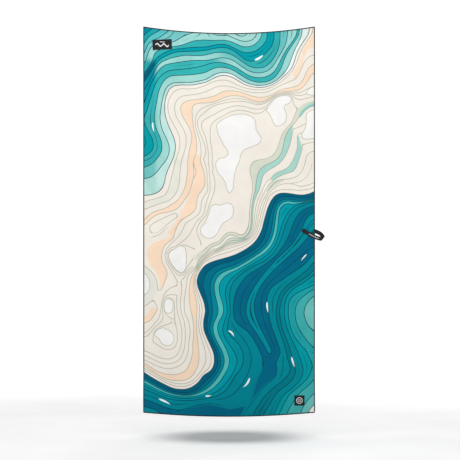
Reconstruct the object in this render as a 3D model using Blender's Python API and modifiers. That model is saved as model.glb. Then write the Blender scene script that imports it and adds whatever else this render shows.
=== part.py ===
"""A hanging quick dry towel with overlocked edges, two sewn labels and a press-stud hanging strap.

Frame: X runs to the right along the width, Y away from the viewer through the cloth, Z up.
The origin is halfway between the two top corners, from which the towel hangs.
Flat pieces are 2D curves drawn in X and Z, round ones are turned about Y.
"""

import math

import bmesh
import bpy
from mathutils import Matrix, Vector
from mathutils.geometry import interpolate_bezier

MM = 0.001

# Cloth. Its corners hang at z = 0 and z = -CLOTH_LENGTH, and the free edges between them sag.
CLOTH_WIDTH = 800 * MM
CLOTH_LENGTH = 1800 * MM
CLOTH_THICKNESS = 1.0 * MM
TOP_SAG = 31 * MM
BOTTOM_SAG = 19 * MM
EDGE_STEPS = 24

# Assembly gap between pieces that lie on each other.
GAP = 0.3 * MM

# Overlocked thread edge, a U section that wraps each edge of the cloth.
OVERLOCK_REACH = 4.0 * MM
OVERLOCK_WALL = 0.45 * MM

# Woven labels on the front, each with a run of thread near its border.
LABEL_THICKNESS = 0.6 * MM
LABEL_CORNER_RADIUS = 1.5 * MM
STITCH_INSET = 2.2 * MM
THREAD_RADIUS = 0.25 * MM
CORNER_LABEL_SIZE = (90 * MM, 47 * MM)
CORNER_LABEL_FROM_CORNER = (88 * MM, 84 * MM)
CORNER_LABEL_TURN = math.radians(-3)
SQUARE_LABEL_SIZE = (47 * MM, 47 * MM)
SQUARE_LABEL_FROM_CORNER = (72 * MM, 56 * MM)

# Care label, a satin tab sewn to the back near the top edge.
CARE_LABEL_SIZE = (32 * MM, 48 * MM)
CARE_LABEL_THICKNESS = 0.5 * MM
CARE_LABEL_FROM_CORNER = (110 * MM, 60 * MM)
CARE_SEAM_HEIGHT = 4 * MM

# Hanging strap, folded round outside the right edge from the back to the front. The crease is the
# line it folds about, and the strap crosses it at a slant. Each leg's inner end is given as (in
# from the side edge, up from the fold's centre), with the slope that the leg has there.
STRAP_WIDTH = 18.5 * MM
STRAP_THICKNESS = 1.3 * MM
STRAP_DROP = 986 * MM
FOLD_OUT = 34 * MM
CREASE_ANGLE = math.radians(51)
CREASE_SLANT = math.radians(33)
FRONT_LEG_END = (59 * MM, 37 * MM)
FRONT_LEG_SLOPE = math.radians(28.5)
BACK_LEG_END = (28 * MM, 42 * MM)
BACK_LEG_SLOPE = math.radians(20)
LEG_HOLD_AT_FOLD = 0.27
LEG_HOLD_AT_END = 0.52
LEG_STEPS = 10
FOLD_STEPS = 6
HINGE_GAP = 0.5 * MM

# Bar tacks that sew the strap over the overlocked side edge, seen on the strap and on the front.
TACK_WIDTH = 3.0 * MM
TACK_THICKNESS = 0.6 * MM

# Press stud: a cap and socket on the strap, a stud and post on the cloth.
SNAP_FROM_STRAP_END = 9.5 * MM
SNAP_RADIUS = 5.0 * MM
CAP_RADIUS = 5.6 * MM
CAP_RIM = 0.4 * MM
CAP_DOME = 0.9 * MM
PLATE_THICKNESS = 0.6 * MM
POST_RADIUS = 1.2 * MM
NIPPLE_RADIUS = 2.0 * MM
NIPPLE_HEIGHT = 2.2 * MM
NIPPLE_WALL = 0.5 * MM
SOCKET_PLAY = 0.35 * MM
SNAP_CHAMFER = 0.4 * MM
ROUND_STEPS = 24
DOME_STEPS = 5
PATCH_SIZE = 24 * MM
PATCH_THICKNESS = 0.5 * MM

# Colours as (red, green, blue), with roughness and metallic.
FINISHES = {
    "printed_microfibre": ((0.05, 0.42, 0.45), 0.85, 0.0),
    "black_thread": ((0.02, 0.022, 0.025), 0.7, 0.0),
    "black_label": ((0.012, 0.012, 0.014), 0.75, 0.0),
    "black_webbing": ((0.015, 0.015, 0.017), 0.8, 0.0),
    "black_snap_metal": ((0.03, 0.03, 0.033), 0.35, 1.0),
    "white_satin": ((0.85, 0.85, 0.83), 0.5, 0.0),
    "black_interfacing": ((0.03, 0.03, 0.03), 0.9, 0.0),
}

FRONT = -1
BACK = 1
TO_UPRIGHT = Matrix.Rotation(math.pi / 2, 4, "X")

# Levels are distances from the cloth's middle to a piece's near face, on the piece's own side.
FACE = CLOTH_THICKNESS / 2
OVERLOCK_FACE = FACE + GAP + OVERLOCK_WALL
STUD_TOP = FACE + GAP + PLATE_THICKNESS
NIPPLE_TOP = STUD_TOP + NIPPLE_HEIGHT
SOCKET_ROOF = NIPPLE_TOP + GAP
SOCKET_BACK = SOCKET_ROOF + PLATE_THICKNESS
STRAP_FRONT_LEVEL = SOCKET_BACK + GAP
STRAP_BACK_LEVEL = FACE + 2 * GAP

# The fold's middle radius brings the strap round to the front leg's level.
FOLD_RADIUS = STRAP_FRONT_LEVEL + STRAP_THICKNESS / 2
FOLD_CENTRE = Vector((CLOTH_WIDTH / 2 + FOLD_OUT, 0, -STRAP_DROP))
CREASE = Vector((math.cos(CREASE_ANGLE), 0, math.sin(CREASE_ANGLE)))
OUTWARD = Vector((math.sin(CREASE_ANGLE), 0, -math.cos(CREASE_ANGLE)))
CREASE_LENGTH = STRAP_WIDTH / math.cos(CREASE_SLANT)
CREASE_ADVANCE = math.pi * FOLD_RADIUS * math.tan(CREASE_SLANT)


def material(name):
    """The named finish as a Principled BSDF, made once."""
    made = bpy.data.materials.get(name)
    if made:
        return made
    colour, roughness, metallic = FINISHES[name]
    made = bpy.data.materials.new(name)
    made.use_nodes = True
    shader = made.node_tree.nodes["Principled BSDF"]
    shader.inputs["Base Color"].default_value = (*colour, 1)
    shader.inputs["Roughness"].default_value = roughness
    shader.inputs["Metallic"].default_value = metallic
    return made


def add_object(name, data, collection, finish=None):
    """A new object with that data, linked to a collection."""
    made = bpy.data.objects.new(name, data)
    collection.objects.link(made)
    if finish:
        data.materials.append(material(finish))
    return made


def mesh_from(source, name):
    """A curve object replaced by a mesh object in the same place, with its caps welded on."""
    bpy.context.view_layer.update()
    graph = bpy.context.evaluated_depsgraph_get()
    mesh = bpy.data.meshes.new_from_object(source.evaluated_get(graph))
    shape = bmesh.new()
    shape.from_mesh(mesh)
    bmesh.ops.remove_doubles(shape, verts=shape.verts, dist=0.00001)
    bmesh.ops.recalc_face_normals(shape, faces=shape.faces)
    shape.to_mesh(mesh)
    shape.free()
    place = source.matrix_world.copy()
    collection = source.users_collection[0]
    bpy.data.objects.remove(source)
    made = bpy.data.objects.new(name, mesh)
    made.matrix_world = place
    collection.objects.link(made)
    return made


def outline_curve(name, outline, thickness):
    """A flat 2D curve through points, filled and as thick as given."""
    curve = bpy.data.curves.new(name, "CURVE")
    curve.dimensions = "2D"
    curve.fill_mode = "BOTH"
    curve.extrude = thickness / 2
    spline = curve.splines.new("POLY")
    spline.points.add(len(outline) - 1)
    for point, (x, y) in zip(spline.points, outline):
        point.co = (x, y, 0, 1)
    spline.use_cyclic_u = True
    return curve


def flat_piece(name, outline, thickness, level, side, finish):
    """A flat piece cut to an outline of (x, z) points, its near face at that level on one side."""
    made = add_object(name, outline_curve(name, outline, thickness), PARTS, finish)
    middle = side * (level + thickness / 2)
    made.matrix_world = Matrix.Translation((0, middle, 0)) @ TO_UPRIGHT
    return mesh_from(made, name)


def turned_piece(name, profile, side):
    """A round piece of the press stud, from (radius, level) points, outermost level first."""
    mesh = bpy.data.meshes.new(name)
    points = [(radius, 0, height) for radius, height in profile]
    mesh.from_pydata(points, [(i, i + 1) for i in range(len(points) - 1)], [])
    made = add_object(name, mesh, PARTS, "black_snap_metal")
    turn = Matrix.Rotation(-side * math.pi / 2, 4, "X")
    made.matrix_world = Matrix.Translation(SNAP_CENTRE) @ turn
    screw = made.modifiers.new("turn", "SCREW")
    screw.steps = ROUND_STEPS
    screw.render_steps = ROUND_STEPS
    screw.use_merge_vertices = True
    screw.merge_threshold = 0.00001
    screw.use_smooth_shade = True
    return made


def drill(target, centre, radius):
    """A round hole through a flat piece, along Y."""
    bpy.ops.mesh.primitive_cylinder_add(
        vertices=ROUND_STEPS, radius=radius, depth=30 * MM, location=centre
    )
    cutter = bpy.context.object
    cutter.rotation_euler = (math.pi / 2, 0, 0)
    cutter.name = target.name + "_hole_cutter"
    cutter.display_type = "WIRE"
    cutter.hide_render = True
    for collection in cutter.users_collection:
        collection.objects.unlink(cutter)
    CUTTERS.objects.link(cutter)
    hole = target.modifiers.new("hole", "BOOLEAN")
    hole.operation = "DIFFERENCE"
    hole.object = cutter


def thread_run(name, points, closed, finish="black_thread"):
    """A thread laid along points in space."""
    curve = bpy.data.curves.new(name, "CURVE")
    curve.dimensions = "3D"
    curve.bevel_depth = THREAD_RADIUS
    curve.bevel_resolution = 1
    curve.use_fill_caps = not closed
    spline = curve.splines.new("POLY")
    spline.points.add(len(points) - 1)
    for point, place in zip(spline.points, points):
        point.co = (*place, 1)
    spline.use_cyclic_u = closed
    return add_object(name, curve, PARTS, finish)


def rounded_rectangle(size, radius, centre, turn=0.0, arc_steps=4):
    """Outline of a rectangle with rounded corners, turned about its centre."""
    outline = []
    for quarter in range(4):
        across = 1 if quarter in (0, 3) else -1
        up = 1 if quarter in (0, 1) else -1
        corner_x = across * (size[0] / 2 - radius)
        corner_z = up * (size[1] / 2 - radius)
        for step in range(arc_steps + 1):
            angle = math.pi / 2 * (quarter + step / arc_steps)
            x = corner_x + radius * math.cos(angle)
            z = corner_z + radius * math.sin(angle)
            outline.append(
                (
                    centre[0] + x * math.cos(turn) - z * math.sin(turn),
                    centre[1] + x * math.sin(turn) + z * math.cos(turn),
                )
            )
    return outline


def top_edge(x):
    """Height of the cloth's top edge, which sags between its corners."""
    return -TOP_SAG * (1 - (2 * x / CLOTH_WIDTH) ** 2)


def bottom_edge(x):
    """Height of the cloth's bottom edge."""
    return -CLOTH_LENGTH - BOTTOM_SAG * (1 - (2 * x / CLOTH_WIDTH) ** 2)


def edge_points(height_of, steps=EDGE_STEPS):
    """Points along a sagging edge, left to right."""
    xs = [CLOTH_WIDTH * (i / steps - 0.5) for i in range(steps + 1)]
    return [(x, height_of(x)) for x in xs]


def make_cloth():
    """The microfibre panel, with a hole for the press stud's post."""
    outline = edge_points(bottom_edge) + edge_points(top_edge)[::-1]
    cloth = flat_piece("towel_cloth", outline, CLOTH_THICKNESS, -FACE, BACK, "printed_microfibre")
    drill(cloth, SNAP_CENTRE, POST_RADIUS + GAP)


def make_overlock(name, points, to_right):
    """Thread wrapped round one edge: a U section swept along the edge's points.

    to_right is -1 where the cloth lies to the right of the path, and 1 where it lies to the left."""
    reach, wall = OVERLOCK_REACH, OVERLOCK_WALL
    inner, outer = FACE + GAP, OVERLOCK_FACE
    section = [
        (GAP + wall, -outer),
        (GAP + wall, outer),
        (-reach, outer),
        (-reach, inner),
        (GAP, inner),
        (GAP, -inner),
        (-reach, -inner),
        (-reach, -outer),
    ]
    profile = bpy.data.curves.new(name + "_section", "CURVE")
    profile.dimensions = "2D"
    spline = profile.splines.new("POLY")
    spline.points.add(len(section) - 1)
    for point, (across, through) in zip(spline.points, section):
        point.co = (to_right * across, through, 0, 1)
    spline.use_cyclic_u = True
    guide = add_object(name + "_section", profile, CUTTERS)
    guide.hide_render = True
    curve = bpy.data.curves.new(name, "CURVE")
    curve.dimensions = "3D"
    curve.twist_mode = "Z_UP"
    curve.bevel_mode = "OBJECT"
    curve.bevel_object = guide
    curve.use_fill_caps = True
    spline = curve.splines.new("POLY")
    spline.points.add(len(points) - 1)
    for point, (x, z) in zip(spline.points, points):
        point.co = (x, z, 0, 1)
    made = add_object(name, curve, PARTS, "black_thread")
    made.matrix_world = TO_UPRIGHT
    return mesh_from(made, name)


def make_overlocks():
    """Four runs of thread. The top and bottom runs cover the corners."""
    make_overlock("overlock_top", edge_points(top_edge), -1)
    make_overlock("overlock_bottom", edge_points(bottom_edge), 1)
    for name, side in (("overlock_left", -1), ("overlock_right", 1)):
        x = side * CLOTH_WIDTH / 2
        inner_x = x - side * OVERLOCK_REACH
        top = top_edge(inner_x) - OVERLOCK_REACH - 2 * GAP
        bottom = bottom_edge(x) + OVERLOCK_REACH + 2 * GAP
        make_overlock(name, [(x, bottom), (x, top)], side)


def make_label(name, size, centre, turn):
    """A woven label sewn on the front, and the thread that holds it."""
    outline = rounded_rectangle(size, LABEL_CORNER_RADIUS, centre, turn)
    flat_piece(name, outline, LABEL_THICKNESS, FACE + GAP, FRONT, "black_label")
    run_size = [side - 2 * STITCH_INSET for side in size]
    run = rounded_rectangle(run_size, LABEL_CORNER_RADIUS, centre, turn, arc_steps=2)
    level = FACE + GAP + LABEL_THICKNESS + GAP + THREAD_RADIUS
    thread_run(name + "_stitch", [(x, FRONT * level, z) for x, z in run], closed=True)


def make_care_label():
    """A satin tab that hangs on the back from its sewn top edge, about a hinge line."""
    width, drop = CARE_LABEL_SIZE
    x = -CLOTH_WIDTH / 2 + CARE_LABEL_FROM_CORNER[0]
    seam_z = -CARE_LABEL_FROM_CORNER[1]
    hinge_z = seam_z - CARE_SEAM_HEIGHT / 2 - HINGE_GAP
    shapes = (
        ("care_label_seam", (width, CARE_SEAM_HEIGHT), seam_z),
        ("care_label", (width, drop), hinge_z - HINGE_GAP - drop / 2),
    )
    for name, size, z in shapes:
        outline = rounded_rectangle(size, GAP, (x, z), arc_steps=2)
        tab = flat_piece(name, outline, CARE_LABEL_THICKNESS, FACE + GAP, BACK, "white_satin")
    level = FACE + GAP + CARE_LABEL_THICKNESS
    set_pivot(tab, Vector((x, level, hinge_z)))
    half = width / 2 - STITCH_INSET
    stitch_y = level + GAP + THREAD_RADIUS
    ends = [(x - half, stitch_y, seam_z), (x + half, stitch_y, seam_z)]
    thread_run("care_label_stitch", ends, closed=False)


def leg_line(side, end, slope):
    """Points of a strap leg's middle in (x, z), from the fold to its inner end, as a cubic curve."""
    start = FOLD_CENTRE - OUTWARD * HINGE_GAP + CREASE * side * CREASE_ADVANCE / 2
    far = Vector((CLOTH_WIDTH / 2 - end[0], 0, FOLD_CENTRE.z + end[1]))
    leaving = -OUTWARD * math.cos(CREASE_SLANT) + CREASE * side * math.sin(CREASE_SLANT)
    arriving = Vector((-math.cos(slope), 0, math.sin(slope)))
    reach = (far - start).length
    near_handle = start + leaving * reach * LEG_HOLD_AT_FOLD
    far_handle = far - arriving * reach * LEG_HOLD_AT_END
    return interpolate_bezier(start, near_handle, far_handle, far, LEG_STEPS + 1)


def strap_outline(line):
    """Outline of a flat strap along its middle line, with its first end cut along the crease."""
    upper, lower = [], []
    for index, point in enumerate(line):
        before = line[max(index - 1, 0)]
        after = line[min(index + 1, len(line) - 1)]
        along = (after - before).normalized()
        across = Vector((along.z, 0, -along.x))
        if index == 0:
            across = CREASE / CREASE.dot(across)
        upper.append(point + across * STRAP_WIDTH / 2)
        lower.append(point - across * STRAP_WIDTH / 2)
    return [(point.x, point.z) for point in upper + lower[::-1]]


def lean(piece):
    """Tilt a piece on the back about the back leg's end at the fold, until its far end is near the
    cloth."""
    run = (FOLD_CENTRE - BACK_LINE[-1]).dot(OUTWARD)
    rise = FOLD_RADIUS - STRAP_BACK_LEVEL - STRAP_THICKNESS / 2
    turn = Matrix.Rotation(math.atan2(rise, run), 4, CREASE)
    pivot = Matrix.Translation(HINGES["back"])
    piece.matrix_world = pivot @ turn @ pivot.inverted() @ piece.matrix_world


def set_pivot(piece, point):
    """Put a moving piece's origin on its joint's axis, with its shape left where it is."""
    offset = piece.matrix_world.inverted() @ point
    piece.data.transform(Matrix.Translation(-offset))
    piece.matrix_world = piece.matrix_world @ Matrix.Translation(offset)


def make_strap():
    """Woven strap: a back leg sewn at the edge, a fold in two quarters and a front leg."""
    near = FOLD_RADIUS - STRAP_THICKNESS / 2
    back = flat_piece(
        "strap_back_leg", strap_outline(BACK_LINE), STRAP_THICKNESS, near, BACK, "black_webbing"
    )
    lean(back)
    front = flat_piece(
        "strap_front_leg", strap_outline(FRONT_LINE), STRAP_THICKNESS, near, FRONT, "black_webbing"
    )
    drill(front, SNAP_CENTRE, POST_RADIUS + GAP)
    fold_back = make_fold("strap_fold_back", 0)
    fold_front = make_fold("strap_fold_front", math.pi / 2)
    set_pivot(fold_back, HINGES["back"])
    set_pivot(fold_front, HINGES["tip"])
    set_pivot(front, HINGES["front"])
    return front


def make_fold(name, start):
    """A quarter of the strap's fold: an arc about the crease, slid along it as the strap turns."""
    edge = HINGE_GAP / FOLD_RADIUS
    span = math.pi / 2 - 2 * edge
    angles = [start + edge + span * i / FOLD_STEPS for i in range(FOLD_STEPS + 1)]
    inner, outer = FOLD_RADIUS - STRAP_THICKNESS / 2, FOLD_RADIUS + STRAP_THICKNESS / 2
    arc = [(outer * math.sin(angle), outer * math.cos(angle)) for angle in angles]
    arc += [(inner * math.sin(angle), inner * math.cos(angle)) for angle in reversed(angles)]
    curve = outline_curve(name, arc, CREASE_LENGTH)
    made = add_object(name, curve, PARTS, "black_webbing")
    axes = Matrix((OUTWARD, Vector((0, 1, 0)), CREASE)).transposed().to_4x4()
    made.matrix_world = Matrix.Translation(FOLD_CENTRE) @ axes
    piece = mesh_from(made, name)
    for vertex in piece.data.vertices:
        angle = math.atan2(vertex.co.x, vertex.co.y)
        vertex.co.z += CREASE_ADVANCE * (0.5 - angle / math.pi)
    return piece


def make_tacks():
    """Bar tacks over the side edge: dense stitching seen on the strap and on the front."""
    x = CLOTH_WIDTH / 2 - OVERLOCK_REACH / 2
    bar = rounded_rectangle((TACK_WIDTH, STRAP_WIDTH), TACK_WIDTH / 3, (x, height_at(BACK_LINE, x)))
    on_strap = FOLD_RADIUS + STRAP_THICKNESS / 2 + GAP
    lean(flat_piece("strap_tack_back", bar, TACK_THICKNESS, on_strap, BACK, "black_thread"))
    flat_piece("strap_tack_front", bar, TACK_THICKNESS, OVERLOCK_FACE + GAP, FRONT, "black_thread")


def height_at(line, x):
    """Height of a line of points where it crosses x."""
    for a, b in zip(line, line[1:]):
        if min(a.x, b.x) <= x <= max(a.x, b.x):
            return a.z + (b.z - a.z) * (x - a.x) / (b.x - a.x)
    return line[-1].z


def make_snap(strap):
    """Press stud. Cap and socket clamp the strap, stud and post clamp the cloth and its patch."""
    strap_face = STRAP_FRONT_LEVEL + STRAP_THICKNESS + GAP
    dome = [math.pi / 2 * i / DOME_STEPS for i in range(DOME_STEPS + 1)]
    cap = [
        (CAP_RADIUS * math.sin(angle), strap_face + CAP_RIM + CAP_DOME * math.cos(angle))
        for angle in dome
    ]
    cap += [
        (CAP_RADIUS, strap_face),
        (POST_RADIUS, strap_face),
        (POST_RADIUS, SOCKET_ROOF + GAP),
        (0, SOCKET_ROOF + GAP),
    ]
    bore = POST_RADIUS + GAP
    mouth = NIPPLE_RADIUS + SOCKET_PLAY
    socket_front = STUD_TOP + GAP
    socket = [
        (bore, SOCKET_BACK),
        (SNAP_RADIUS - SNAP_CHAMFER, SOCKET_BACK),
        (SNAP_RADIUS, SOCKET_BACK - SNAP_CHAMFER),
        (SNAP_RADIUS, socket_front + SNAP_CHAMFER),
        (SNAP_RADIUS - SNAP_CHAMFER, socket_front),
        (mouth, socket_front),
        (mouth, SOCKET_ROOF),
        (bore, SOCKET_ROOF),
        (bore, SOCKET_BACK),
    ]
    hollow = NIPPLE_RADIUS - NIPPLE_WALL
    stud = [
        (0, NIPPLE_TOP),
        (NIPPLE_RADIUS - SNAP_CHAMFER, NIPPLE_TOP),
        (NIPPLE_RADIUS, NIPPLE_TOP - SNAP_CHAMFER),
        (NIPPLE_RADIUS, STUD_TOP),
        (SNAP_RADIUS, STUD_TOP),
        (SNAP_RADIUS, FACE + GAP),
        (hollow, FACE + GAP),
        (hollow, NIPPLE_TOP - NIPPLE_WALL),
        (0, NIPPLE_TOP - NIPPLE_WALL),
    ]
    square = rounded_rectangle(
        (PATCH_SIZE, PATCH_SIZE), LABEL_CORNER_RADIUS, (SNAP_CENTRE.x, SNAP_CENTRE.z),
        -FRONT_LEG_SLOPE,
    )
    patch = flat_piece(
        "snap_patch", square, PATCH_THICKNESS, FACE + GAP, BACK, "black_interfacing"
    )
    drill(patch, SNAP_CENTRE, bore)
    base = FACE + GAP + PATCH_THICKNESS + GAP
    post_end = -(NIPPLE_TOP - NIPPLE_WALL - GAP)
    post = [
        (0, base + PLATE_THICKNESS),
        (SNAP_RADIUS - SNAP_CHAMFER, base + PLATE_THICKNESS),
        (SNAP_RADIUS, base + PLATE_THICKNESS - SNAP_CHAMFER),
        (SNAP_RADIUS, base),
        (POST_RADIUS, base),
        (POST_RADIUS, post_end),
        (0, post_end),
    ]
    turned_piece("snap_stud", stud, FRONT)
    turned_piece("snap_post", post, BACK)
    for riding in (turned_piece("snap_cap", cap, FRONT), turned_piece("snap_socket", socket, FRONT)):
        riding.parent = strap
        riding.matrix_parent_inverse = strap.matrix_world.inverted()


for old in list(bpy.data.objects):
    bpy.data.objects.remove(old)
PARTS = bpy.data.collections.new("quick_dry_towel")
CUTTERS = bpy.data.collections.new("cutters")
bpy.context.scene.collection.children.link(PARTS)
bpy.context.scene.collection.children.link(CUTTERS)

# Points on the strap's three hinge lines, which all run along the crease.
HINGES = {
    "back": FOLD_CENTRE + Vector((0, BACK * FOLD_RADIUS, 0)),
    "tip": FOLD_CENTRE + OUTWARD * FOLD_RADIUS,
    "front": FOLD_CENTRE + Vector((0, FRONT * FOLD_RADIUS, 0)),
}
BACK_LINE = leg_line(BACK, BACK_LEG_END, BACK_LEG_SLOPE)
FRONT_LINE = leg_line(FRONT, FRONT_LEG_END, FRONT_LEG_SLOPE)
SNAP_CENTRE = FRONT_LINE[-1] + SNAP_FROM_STRAP_END * Vector(
    (math.cos(FRONT_LEG_SLOPE), 0, -math.sin(FRONT_LEG_SLOPE))
)

make_cloth()
make_overlocks()
make_label(
    "corner_label",
    CORNER_LABEL_SIZE,
    (-CLOTH_WIDTH / 2 + CORNER_LABEL_FROM_CORNER[0], -CORNER_LABEL_FROM_CORNER[1]),
    CORNER_LABEL_TURN,
)
make_label(
    "square_label",
    SQUARE_LABEL_SIZE,
    (
        CLOTH_WIDTH / 2 - SQUARE_LABEL_FROM_CORNER[0],
        -CLOTH_LENGTH + SQUARE_LABEL_FROM_CORNER[1],
    ),
    0.0,
)
make_care_label()
make_tacks()
make_snap(make_strap())
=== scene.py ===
import math

import bpy
import numpy as np
from mathutils import Matrix, Vector


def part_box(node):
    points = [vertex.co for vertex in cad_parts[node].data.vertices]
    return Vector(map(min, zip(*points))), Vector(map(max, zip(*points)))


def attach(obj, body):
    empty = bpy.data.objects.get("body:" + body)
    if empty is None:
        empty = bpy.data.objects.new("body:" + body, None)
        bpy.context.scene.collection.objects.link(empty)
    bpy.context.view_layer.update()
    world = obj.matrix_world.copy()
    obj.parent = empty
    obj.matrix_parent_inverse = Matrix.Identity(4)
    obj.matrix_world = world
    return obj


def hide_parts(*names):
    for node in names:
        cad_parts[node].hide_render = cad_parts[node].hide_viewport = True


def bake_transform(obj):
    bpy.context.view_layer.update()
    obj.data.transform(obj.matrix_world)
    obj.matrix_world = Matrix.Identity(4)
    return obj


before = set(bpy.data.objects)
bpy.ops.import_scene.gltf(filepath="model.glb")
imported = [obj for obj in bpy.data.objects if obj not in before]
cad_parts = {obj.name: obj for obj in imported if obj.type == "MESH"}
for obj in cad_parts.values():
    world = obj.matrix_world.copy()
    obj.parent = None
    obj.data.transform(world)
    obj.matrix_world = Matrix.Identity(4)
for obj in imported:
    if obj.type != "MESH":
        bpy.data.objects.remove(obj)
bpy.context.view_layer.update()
bpy.ops.object.select_all(action="DESELECT")

mm = 0.001
front = -1
back = 1

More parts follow.
